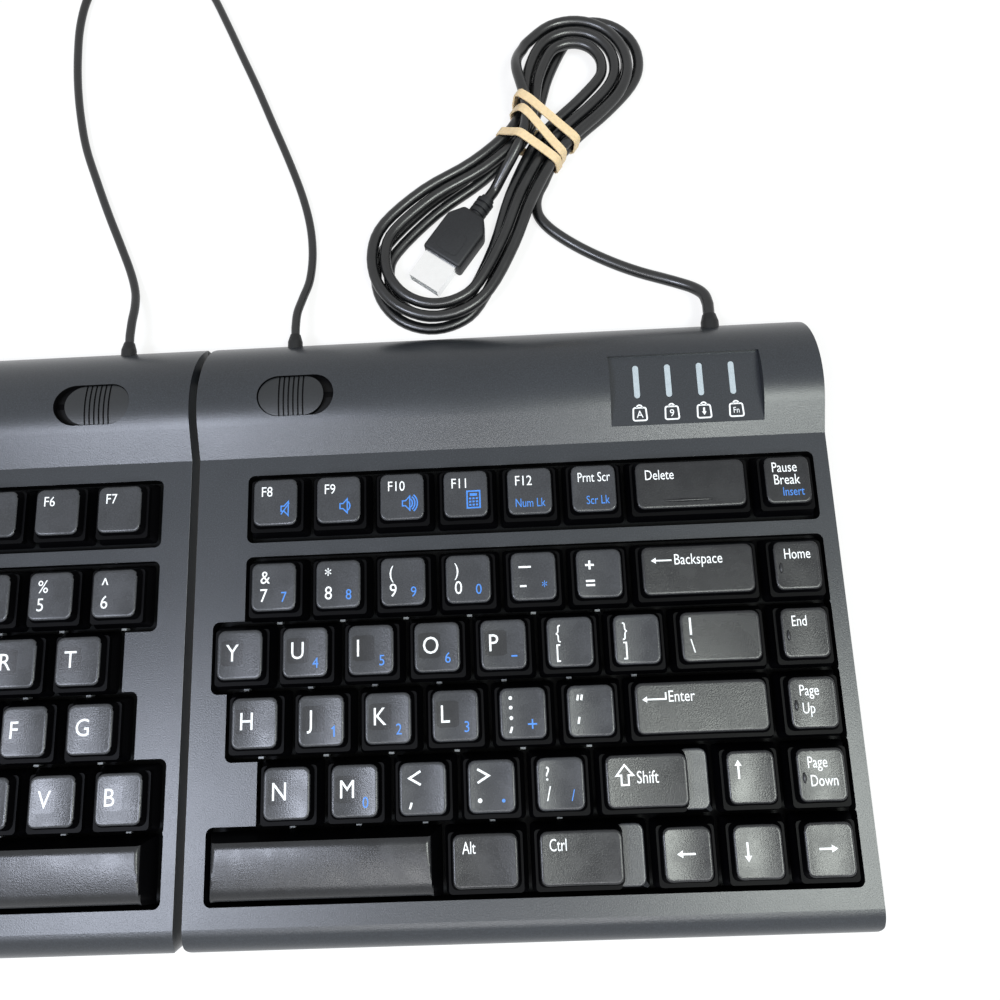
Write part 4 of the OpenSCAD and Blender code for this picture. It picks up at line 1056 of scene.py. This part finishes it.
def hank_point(turns):
    """A place on the wound cord after so many loops, in the hank's own axes."""
    level = 0 if turns < TURN_BACK else 1
    up, down = UPPER_RUN[level], LOWER_RUN[level]
    inset = LOOP_STEP * (turns if turns < TURN_BACK else 2 * TURN_BACK - turns)
    climb = min(1, max(0, (turns - TURN_BACK) / 0.25 + 0.5))
    z = HANK_LOW + LAYER_STEP * climb * climb * (3 - 2 * climb)
    part = turns % 1
    if part < 0.125 or part >= 0.875:
        u = up * part / 0.125 if part < 0.5 else down * (part - 1) / 0.125
        v = run_lean(u, level) - run_half(u, inset, level)
    elif part < 0.375:
        turn = math.radians(720 * (part - 0.25))
        u = up + (UPPER_BEND - inset) * math.cos(turn)
        v = UPPER_LEAN[level] + (UPPER_BEND - inset) * math.sin(turn)
    elif part < 0.625:
        u = (up if part < 0.5 else down) * (0.5 - part) / 0.125
        v = run_lean(u, level) + run_half(u, inset, level)
    else:
        turn = math.radians(720 * (part - 0.75))
        u = -down - (LOWER_BEND - inset) * math.cos(turn)
        v = LOWER_LEAN[level] - (LOWER_BEND - inset) * math.sin(turn)
    near = max(-LOWER_RUN[0], min(UPPER_RUN[0], u))
    return Vector((u, v, z + WAIST_LIFT * waist(near, 0)))


def usb_route():
    """The lead from its boot to the hank, round the loops and down to the plug."""
    low = HANK_LOW
    rings = 24
    straight = Vector((3.8, 0, 0))
    lead = [(CORD_X, RELIEF_END + 3.8, 7), (164.2, 101, 5.9), (161.5, 104.2, 4.3), (157, 106.8, 3),
            (151.5, 109.2, 2.2), (145, 111.6, low), (138, 114.6, low), (131, 118.2, low),
            (124.5, 122.1, low), (118.8, 126.2, low), (114.2, 130.3, low), (111.2, 134.6, low),
            (110.4, 139, 2.1), (111.3, 143, 2.4), (113.3, 146.6, 2.8)]
    points = [Vector(p) for p in lead]
    first = hank_point(0)
    points += [hank_place(first - straight), hank_place(first), hank_place(first + straight)]
    points += [hank_place(hank_point(i / rings)) for i in range(1, int(LOOPS * rings) + 1)]
    points += [hank_place(p) for p in TAIL]
    path = [Vector((CORD_X, RELIEF_END, OUTLET_Z))] + catmull(points, 4)
    return [p * MM for p in path]


CAMERA_LENS = 29.52
CAMERA_SENSOR = 36
CAMERA_SHIFT = (-0.0005, -0.0427)
CAMERA_AT = (0.101274, -0.007372, 0.26276)
# Degrees about the camera's own x, y and z.
CAMERA_TURN = (12.3445, 1.4531, -2.5945)
# Each lamp: name, place in metres, width, depth, watts and colour.
LAMPS = [("Front_softbox", (0.1, -0.62, 1.0), 0.7, 0.2, 5, "#fbfcff"),
         ("Right_softbox", (0.52, -0.29, 1.05), 0.36, 0.36, 9, "#f8fff8"),
         ("Left_softbox", (-0.48, -0.31, 1.05), 0.36, 0.36, 11, "#e6edff")]
LAMP_AIM = Vector((0.08, 0, 0))
WHITE = (1, 1, 1, 1)
ROOM_LIGHT = 0.22
FLOOR_GLOW = 0.8
FLOOR_DROP = 0.2
FLOOR_HALF = 3


class KEYBOARD_OT_stage(bpy.types.Operator):
    """Camera, soft lights, white world and pale floor"""
    bl_idname = "keyboard.stage"
    bl_label = "Stage"

    def execute(self, context):
        scene = context.scene
        scene.view_settings.view_transform = "Standard"
        camera = bpy.data.cameras.new("Camera")
        camera.lens = CAMERA_LENS
        camera.sensor_width = CAMERA_SENSOR
        camera.shift_x, camera.shift_y = CAMERA_SHIFT
        camera.clip_start = 0.01
        eye = bpy.data.objects.new("Camera", camera)
        turn = Matrix.Identity(4)
        for angle, axis in zip(CAMERA_TURN, "XYZ"):
            turn = turn @ Matrix.Rotation(math.radians(angle), 4, axis)
        eye.matrix_world = Matrix.Translation(CAMERA_AT) @ turn
        scene.collection.objects.link(eye)
        scene.camera = eye
        for name, place, width, depth, power, shade in LAMPS:
            light = bpy.data.lights.new(name, "AREA")
            light.shape = "RECTANGLE"
            light.size = width
            light.size_y = depth
            light.energy = power
            light.color = linear(shade)[:3]
            lamp = bpy.data.objects.new(name, light)
            lamp.location = place
            aim = LAMP_AIM - Vector(place)
            lamp.rotation_euler = aim.to_track_quat("-Z", "Y").to_euler()
            scene.collection.objects.link(lamp)
        world = bpy.data.worlds.new("White_room")
        scene.world = world
        world.use_nodes = True
        tree = world.node_tree
        ground = tree.nodes["Background"]
        ground.inputs["Color"].default_value = WHITE
        ground.inputs["Strength"].default_value = ROOM_LIGHT
        white = add(tree, "ShaderNodeBackground", [("Color", WHITE), ("Strength", 1.0)])
        seen = add(tree, "ShaderNodeMixShader", [(0, self.seen_rays(tree)),
                                                 (1, ground.outputs[0]), (2, white.outputs[0])])
        tree.links.new(seen.outputs[0], tree.nodes["World Output"].inputs["Surface"])
        bm = bmesh.new()
        below = Matrix.Translation((0, 0, -FLOOR_DROP * MM))
        bmesh.ops.create_grid(bm, x_segments=1, y_segments=1, size=FLOOR_HALF, matrix=below)
        floor = make_piece("Floor", to_mesh(bm, "Floor"), self.floor_paint())
        return {"FINISHED"}

    def seen_rays(self, tree):
        """One for rays of the camera, of gloss and of glass, so that all see the white room."""
        ray = add(tree, "ShaderNodeLightPath")
        gloss = add(tree, "ShaderNodeMath", [(0, ray.outputs["Is Camera Ray"]),
                                             (1, ray.outputs["Is Glossy Ray"])], operation="MAXIMUM")
        both = add(tree, "ShaderNodeMath", [(0, gloss.outputs[0]),
                                            (1, ray.outputs["Is Transmission Ray"])],
                   operation="MAXIMUM")
        return both.outputs[0]

    def floor_paint(self):
        """Matt white sweep: shown near white to the camera, with the shadow kept."""
        material, tree, shader = start_material("White_sweep", Roughness=0.9)
        shader.inputs["Base Color"].default_value = linear("#f4f4f4")
        glow = add(tree, "ShaderNodeEmission", [("Color", WHITE), ("Strength", 1.0)])
        part = add(tree, "ShaderNodeMath", [(0, self.seen_rays(tree)), (1, FLOOR_GLOW)],
                   operation="MULTIPLY")
        mix = add(tree, "ShaderNodeMixShader", [(0, part.outputs[0]), (1, shader.outputs[0]),
                                                (2, glow.outputs[0])])
        tree.links.new(mix.outputs[0], tree.nodes["Material Output"].inputs["Surface"])
        return material


class KEYBOARD_OT_cords(bpy.types.Operator):
    """Link cord and lead with its wound hank"""
    bl_idname = "keyboard.cords"
    bl_label = "Cords"

    def execute(self, context):
        sizes = context.scene.keyboard_sizes
        looks = finishes(context.scene.keyboard_colours)
        route = link_route()
        link = make_piece("Link_cord", to_mesh(tube(route, sizes.link_diameter / 2), "Link_cord"),
                          looks["cord"], smooth=60)
        self.bend_link(link)
        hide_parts("link_cord")
        lead = usb_route()
        cord = make_piece("Lead_and_hank", to_mesh(tube(lead, sizes.lead_diameter / 2), "Lead"),
                          looks["cord"], smooth=60)
        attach(cord, RIGHT)
        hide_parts("usb_lead", "usb_hank")
        band = self.make_band(looks["band"], [hank_axes(p) for p in lead])
        self.make_plug(looks)
        dress(looks["shell"], "plug_shell")
        dress(looks["tongue"], "plug_tongue")
        dress(looks["boot"], "usb_relief", "right_link_relief", "left_link_relief")
        return {"FINISHED"}

    def make_plug(self, looks):
        """The moulded plug: rounded body, ribbed neck and a raised bare square outline."""
        low, high = (corner[2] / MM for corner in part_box("usb_plug"))
        middle_z = (low + high) / 2
        nose, shoulder, tail = -53, -38, -33
        wide, narrow, side = 7.5, 4, 1
        edge = 1.1
        neck_at, neck_radius, neck_length = -29.3, 2.4, 8.4
        rib_at, rib_pitch, rib_radius, rib_width = -31.3, 2.1, 3.1, 1.4
        bm = bmesh.new()
        half = [(nose, -wide), (shoulder, -wide), (tail, -narrow)]
        plan = half + [(u, -v) for u, v in half[::-1]]
        rings = [[bm.verts.new(Vector((u, v, z)) * MM) for u, v in plan] for z in (low, high)]
        bridge(bm, *rings)
        bm.faces.new(rings[0][::-1])
        bm.faces.new(rings[1])
        bmesh.ops.recalc_face_normals(bm, faces=bm.faces)
        bmesh.ops.bevel(bm, geom=bm.edges[:], offset=edge * MM, segments=3, profile=0.5,
                        affect="EDGES", clamp_overlap=True)
        lying = Matrix.Rotation(math.pi / 2, 4, "Y")
        neck = Matrix.Translation(Vector((neck_at, 0, middle_z)) * MM) @ lying
        bmesh.ops.create_cone(bm, cap_ends=True, segments=20, radius1=neck_radius * MM,
                              radius2=neck_radius * MM, depth=neck_length * MM, matrix=neck)
        rib = bmesh.new()
        bmesh.ops.create_cone(rib, cap_ends=True, segments=24, radius1=rib_radius * MM,
                              radius2=rib_radius * MM, depth=rib_width * MM, matrix=lying)
        places = [(rib_at + rib_pitch * i, 0, middle_z) for i in range(3)]
        ribs = repeated("Plug_ribs", to_mesh(rib, "Rib"), places, looks["plug"])
        bm.from_mesh(ribs)
        bpy.data.meshes.remove(ribs)
        pen = Printer(lambda x: high)
        corner = 1.4
        reach = 4.1
        middle = -46.5
        square = []
        for turn, (a, b) in enumerate(((1, -1), (1, 1), (-1, 1), (-1, -1))):
            square += arc(middle + a * (reach - corner), b * (reach - corner), corner, turn * 90 - 90,
                          turn * 90, 4)
        pen.stroke(square, 0.5, 0, True)
        outline = bpy.data.meshes.new("Outline")
        pen.bm.to_mesh(outline)
        pen.bm.free()
        bm.from_mesh(outline)
        bpy.data.meshes.remove(outline)
        for vert in bm.verts:
            u, v, z = vert.co / MM
            vert.co = hank_place((u, v + side, z)) * MM
        plug = make_piece("Moulded_plug", to_mesh(bm, "Moulded_plug"), looks["plug"], smooth=32)
        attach(plug, RIGHT)
        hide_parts("usb_plug")
        return plug

    def bend_link(self, link):
        """Bakes the link cord's placement into its points."""
        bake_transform(link)

    def make_band(self, material, strands):
        """A flat band wound three times round the waist, one pass lying across the others."""
        thick = 0.55
        wide = 3.0
        steps = 44
        # Each pass over the top runs from its left place along the hank to its right place.
        passes = [(9.6, 8.6), (6.0, 1.7), (-3.4, -1.9)]
        path = []
        for number, (enter, leave) in enumerate(passes):
            back = passes[(number + 1) % len(passes)][0]
            last = number == len(passes) - 1
            for i in range(steps):
                part = i / steps
                over = part < 0.5
                share = part * 2 if over else part * 2 - 1
                ease = share * share * (3 - 2 * share)
                u = enter + (leave - enter) * ease if over else leave + (back - leave) * ease
                bulge = 0.6 * math.sin(math.pi * share) ** 0.5 if last and not over else 0
                path.append((u, part, bulge))
        rings = []
        bm = bmesh.new()
        for u, part, bulge in path:
            point, out = wrap_place(strands, u, wide, part)
            ring = []
            for along, off in ((-1, 0), (1, 0), (1, 1), (-1, 1)):
                place = point + out * (bulge + off * thick)
                ring.append(bm.verts.new(hank_place((u + along * wide / 2, place.x,
                                                     max(0.03, place.y))) * MM))
            rings.append(ring)
        for i, ring in enumerate(rings):
            bridge(bm, ring, rings[(i + 1) % len(rings)])
        bmesh.ops.recalc_face_normals(bm, faces=bm.faces)
        band = make_piece("Rubber_band", to_mesh(bm, "Rubber_band"), material, smooth=50)
        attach(band, RIGHT)
        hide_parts("rubber_band")
        return band


# Edges of the case are rounded above this height, where they turn by more than this.
ROUND_ABOVE = 15.5
ROUND_TURN = 40
# Round the slider's box, along and across, edges stay as they are.
SLOT_ROOM = (6, 2)
# Faces this far below the hump in the slider's slot get painted shade.
SLOT_DEPTH = 0.2
# Upright faces between these sides and in front of the crease are the walls of the key wells, which get
# painted shade.
WELL_SIDES = (4, 191)
WELL_FRONT = -86
# Normals break at this many degrees beside the level deck, which ends at its height, and elsewhere.
DECK_BREAK = 0.5
DECK_TOP = 19
OTHER_BREAK = 20


def from_hump(place):
    """The way from the axis of the round hump straight out to a place."""
    return Vector((0, place.y - HUMP_Y, place.z - HUMP_Z))


class KEYBOARD_OT_cases(bpy.types.Operator):
    """Top cases, base trays, sliders and the tether"""
    bl_idname = "keyboard.cases"
    bl_label = "Cases"

    def execute(self, context):
        looks = finishes(context.scene.keyboard_colours)
        edge = context.scene.keyboard_sizes.case_edge
        for side, body in (("right", RIGHT), ("left", LEFT)):
            self.round_case(side, body, edge, looks)
            self.shade_slider(side, looks)
        dress(looks["base"], "right_base", "left_base", "tether_link")
        return {"FINISHED"}

    def shade_slider(self, side, looks):
        """The release slider, with near-black painted shade on the flange that shows at the slot's end.
        """
        node = side + "_release_slider"
        bm = bmesh.new()
        bm.from_mesh(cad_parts[node].data)
        bmesh.ops.remove_doubles(bm, verts=bm.verts, dist=MERGE)
        for face in bm.faces:
            depth = HUMP_RADIUS - from_hump(face.calc_center_median() / MM).length
            # Faces deeper than the thumb pad get the near-black painted shade.
            face.material_index = 1 if depth > PAD_DEPTH else 0
        slider = make_piece(side.title() + "_slider", to_mesh(bm, node), looks["slider"],
                            looks["well"], smooth=2)
        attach(slider, side + "_slider")
        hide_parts(node)

    def round_case(self, side, body, edge, looks):
        """The top case with its upper edges rounded, and near-black painted shade on the walls of its
        key wells and in the slider's slot.
        """
        node = side + "_top_case"
        bm = bmesh.new()
        bm.from_mesh(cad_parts[node].data)
        bmesh.ops.remove_doubles(bm, verts=bm.verts, dist=MERGE)
        flat = math.radians(0.3)
        bmesh.ops.dissolve_limit(bm, angle_limit=flat, verts=bm.verts, edges=bm.edges)
        slot_low, slot_high = (Vector(corner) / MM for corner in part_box(side + "_release_slider"))

        def by_slider(place):
            along, across = SLOT_ROOM
            return (slot_low.x - along < place.x < slot_high.x + along
                    and slot_low.y - across < place.y < slot_high.y + across)

        sharp = []
        bm.normal_update()
        for line in bm.edges:
            if len(line.link_faces) != 2 or line.calc_face_angle_signed() < math.radians(ROUND_TURN):
                continue
            ends = [v.co / MM for v in line.verts]
            if min(p.z for p in ends) > ROUND_ABOVE and not any(by_slider(p) for p in ends):
                sharp.append(line)
        bmesh.ops.bevel(bm, geom=sharp, offset=edge, offset_type="OFFSET", segments=2, profile=0.5,
                        affect="EDGES", clamp_overlap=True)
        bmesh.ops.triangulate(bm, faces=[f for f in bm.faces if len(f.verts) > 4])
        bm.normal_update()
        for face in bm.faces:
            middle = face.calc_center_median() / MM
            inside = (WELL_SIDES[0] < abs(middle.x) < WELL_SIDES[1]
                      and WELL_FRONT < middle.y < CREASE_Y - 2)
            # Walls of the key wells and faces down in the slider's slot get near-black painted shade.
            well = inside and abs(face.normal.z) < 0.5
            slot = by_slider(middle) and from_hump(middle).length < HUMP_RADIUS - SLOT_DEPTH
            face.material_index = 1 if well or slot else 0
        for line in bm.edges:
            low = min(v.co.z for v in line.verts) < DECK_TOP * MM
            level = low and any(abs(face.normal.z) > 0.9998 for face in line.link_faces)
            turn = math.degrees(line.calc_face_angle(0))
            line.smooth = turn < (DECK_BREAK if level else OTHER_BREAK)
        case = make_piece(side.title() + "_rounded_case", to_mesh(bm, node), looks["case"],
                          looks["well"], smooth=0)
        self.smooth_hump(case.data)
        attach(case, body)
        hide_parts(node)

    def smooth_hump(self, mesh):
        """True round normals on the hump, and flat ones on the ramp before it."""
        normals = [Vector(corner.vector) for corner in mesh.corner_normals]
        for polygon in mesh.polygons:
            rounds = [from_hump(mesh.vertices[index].co / MM) for index in polygon.vertices]
            on_hump = all(abs(way.length - HUMP_RADIUS) < 0.05 for way in rounds)
            on_ramp = abs(polygon.normal.x) < 0.01 and -0.4 < polygon.normal.y < -0.3
            for corner, way in zip(polygon.loop_indices, rounds):
                if on_hump:
                    normals[corner] = way.normalized()
                elif on_ramp:
                    normals[corner] = Vector(polygon.normal)
        mesh.normals_split_custom_set(normals)


class KEYBOARD_OT_keys(bpy.types.Operator):
    """Every keycap"""
    bl_idname = "keyboard.keys"
    bl_label = "Keys"

    def execute(self, context):
        sizes = context.scene.keyboard_sizes
        looks = finishes(context.scene.keyboard_colours)
        top = SKIRT_Z + sizes.cap_height / MM
        rim = sizes.cap_edge / MM
        dish = sizes.cap_dish / MM
        for node, keys in lay_out().items():
            single = [key for key in keys if key.units == 1]
            wide = [key for key in keys if key.units != 1]
            bm = bmesh.new()
            if single:
                shape = bmesh.new()
                half = (KEY_PITCH - KEY_GAP) / 2
                add_cap(shape, -half, half, -CAP_DEPTH / 2, CAP_DEPTH / 2, top, rim, dish, 0)
                add_stem(shape, 0, 0, top - CAP_ROOF)
                mesh = repeated(node + "_caps", to_mesh(shape, "Cap"),
                                [(key.x, key.y, 0) for key in single], looks["key"])
                bm.from_mesh(mesh)
                bpy.data.meshes.remove(mesh)
            for key in wide:
                if node.endswith("space_bar"):
                    add_bar(bm, key, top)
                    add_stem(bm, key.x, key.y, top - CAP_ROOF)
                    continue
                near, far = key.y - CAP_DEPTH / 2, key.y + CAP_DEPTH / 2
                add_cap(bm, key.x - key.half, key.main, near, far, top, rim, dish, 0,
                        right=STEPPED_TAPER if key.stepped else SIDE_TAPER)
                add_stem(bm, key.x, key.y, top - CAP_ROOF)
                if key.stepped:
                    # The ledge takes the lighter painted-highlight copy of the key plastic.
                    add_cap(bm, key.main - SIDE_TAPER, key.x + key.half, near, far,
                            SKIRT_Z + LEDGE_HEIGHT, rim=0.5, dish=0, material=1, left=0.5,
                            right=1.4, front=FRONT_TAPER / 2, back=BACK_TAPER / 2)
            self.add_ridges(bm, node, keys, top)
            bm.normal_update()
            # Faces that look up less get the near-black painted shade.
            for face in bm.faces:
                if face.normal.z < SIDE_FACING:
                    face.material_index = SIDE_SHADE
            cap = make_piece(node.title() + "_caps", to_mesh(bm, node), looks["key"], looks["ledge"],
                             looks["side"], smooth=40)
            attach(cap, node + "_body")
            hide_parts(node)
        return {"FINISHED"}

    def add_ridges(self, bm, node, keys, top):
        """Finger marks: a bar on delete, a small oval on the keys round it."""
        key = keys[0]
        if node == "delete_key":
            self.add_bean(bm, key.x - 1, key.front + 2.0, top - 0.45, half_x=8.5, half_y=0.5,
                          high=0.55)
        if node in ("home_key", "end_key", "page_up_key", "page_down_key"):
            self.add_bean(bm, key.left + 1.5, key.y + 0.2, top - 0.15, half_x=0.55, half_y=1.5,
                          high=0.5)

    def add_bean(self, bm, x, y, z, half_x, half_y, high):
        place = Matrix.Translation((x * MM, y * MM, z * MM))
        size = Matrix.Diagonal((half_x * MM, half_y * MM, high * MM, 1))
        bmesh.ops.create_uvsphere(bm, u_segments=16, v_segments=8, radius=1, matrix=place @ size)


class KEYBOARD_OT_legends(bpy.types.Operator):
    """Printed letters and signs"""
    bl_idname = "keyboard.legends"
    bl_label = "Legends"

    def execute(self, context):
        sizes = context.scene.keyboard_sizes
        looks = finishes(context.scene.keyboard_colours)
        for node, keys in lay_out().items():
            if not any(k.marks for k in keys):
                continue
            pen = Printer(None)
            for key in keys:
                pen.height = lambda x, key=key: key.top_at(x, sizes)
                print_key(pen, key)
            marks = make_piece(node.title() + "_legends", to_mesh(pen.bm, node + "_legends"),
                               looks["ink"], looks["second"], looks["lacquer"])
            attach(marks, node + "_body")
        return {"FINISHED"}


class KEYBOARD_OT_indicators(bpy.types.Operator):
    """Light pipes and the lock signs below them"""
    bl_idname = "keyboard.indicators"
    bl_label = "Indicators"

    def execute(self, context):
        looks = finishes(context.scene.keyboard_colours)
        dress(looks["pipe"], "light_pipes")
        pen = Printer(lambda x: RECESS_FLOOR)
        for i, sign in enumerate(("A", "9", "arrow", "Fn")):
            x, y = LENS_X + LENS_PITCH * i + SIGN_ASIDE, LENS_Y - SIGN_DROP
            box = (arc(x + 1.5, y - 1.5, 0.6, 270, 360, 4) + arc(x + 1.35, y + 1.35, 0.6, 0, 90, 4)
                   + arc(x - 1.35, y + 1.35, 0.6, 90, 180, 4)
                   + arc(x - 1.5, y - 1.5, 0.6, 180, 270, 4))
            pen.stroke(box, 0.48, 0, True)
            pen.stroke(arc(x, y + 1.95, 0.85, 0, 180, 8), 0.44, 0)
            if sign == "arrow":
                draw_arrow(pen, (x, y + 1.1), (x, y - 1.25), 0.6, 1.1, 0)
            else:
                size = 2.2 if len(sign) == 1 else 1.8
                narrow = 0.95 if len(sign) == 1 else 0.8
                glyphs, cap = text_shape(sign)
                places = [v[0] for v in glyphs[0]]
                width = (max(places) - min(places)) * size / cap * narrow
                pen.write(sign, size, x - width / 2, y - size / 2 - 0.1, narrow, 0)
        signs = make_piece("Lock_signs", to_mesh(pen.bm, "Lock_signs"), looks["ink"], looks["second"])
        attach(signs, RIGHT)
        return {"FINISHED"}


class KEYBOARD_OT_insides(bpy.types.Operator):
    """Plates, dome sheets, membranes, board, feet and screws"""
    bl_idname = "keyboard.insides"
    bl_label = "Insides"

    def execute(self, context):
        looks = finishes(context.scene.keyboard_colours)
        for side in ("right", "left"):
            dress(looks["plate"], side + "_key_plate")
            dress(looks["dome"], side + "_dome_sheet")
            dress(looks["film"], side + "_membrane")
            dress(looks["foot"], side + "_feet")
            dress(looks["screw"], side + "_screws")
        dress(looks["board"], "controller_board")
        for side, body in (("right", RIGHT), ("left", LEFT)):
            self.add_ribs(side, body, looks["post"])
        return {"FINISHED"}

    def add_ribs(self, side, body, material):
        """Thin pale ribs of the key plate that show in the gaps between rows."""
        wide, thick, tall, aside = 1.5, 0.64, 2.4, 0.5
        shape = bmesh.new()
        size = Matrix.Diagonal((wide * MM, thick * MM, tall * MM, 1))
        middle = Matrix.Translation((0, 0, (PLATE_TOP + tall / 2) * MM))
        bmesh.ops.create_cube(shape, size=1, matrix=middle @ size)
        places = []
        for node in ("number_keys", "top_letters", "home_letters", "bottom_letters"):
            for key in lay_out()[side + "_" + node]:
                places.append((key.x - aside, key.y - KEY_PITCH / 2, 0))
        mesh = repeated(side.title() + "_plate_ribs", to_mesh(shape, "Rib"), places, material)
        ribs = make_piece(side.title() + "_plate_ribs", mesh, material)
        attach(ribs, body)


class KEYBOARD_PT_panel(bpy.types.Panel):
    """Buttons that make each group of pieces"""
    bl_idname = "KEYBOARD_PT_panel"
    bl_label = "Keyboard"
    bl_space_type = "VIEW_3D"
    bl_region_type = "UI"
    bl_category = "Keyboard"

    def draw(self, context):
        for maker in OPERATORS:
            self.layout.operator(maker.bl_idname)
        for group in (context.scene.keyboard_sizes, context.scene.keyboard_colours):
            for name in group.bl_rna.properties.keys():
                if name not in ("rna_type", "name"):
                    self.layout.prop(group, name)


OPERATORS = (KEYBOARD_OT_stage, KEYBOARD_OT_cords, KEYBOARD_OT_cases, KEYBOARD_OT_keys,
             KEYBOARD_OT_legends, KEYBOARD_OT_indicators, KEYBOARD_OT_insides)
CLASSES = (KeyboardSizes, KeyboardColours) + OPERATORS + (KEYBOARD_PT_panel,)


def register():
    for part in CLASSES:
        bpy.utils.register_class(part)
    bpy.types.Scene.keyboard_sizes = PointerProperty(type=KeyboardSizes)
    bpy.types.Scene.keyboard_colours = PointerProperty(type=KeyboardColours)


def unregister():
    del bpy.types.Scene.keyboard_colours
    del bpy.types.Scene.keyboard_sizes
    for part in reversed(CLASSES):
        bpy.utils.unregister_class(part)


def main():
    register()
    bpy.ops.keyboard.stage()
    bpy.ops.keyboard.cords()
    bpy.ops.keyboard.cases()
    bpy.ops.keyboard.keys()
    bpy.ops.keyboard.legends()
    bpy.ops.keyboard.indicators()
    bpy.ops.keyboard.insides()
    bpy.context.view_layer.update()


if __name__ == "__main__":
    main()
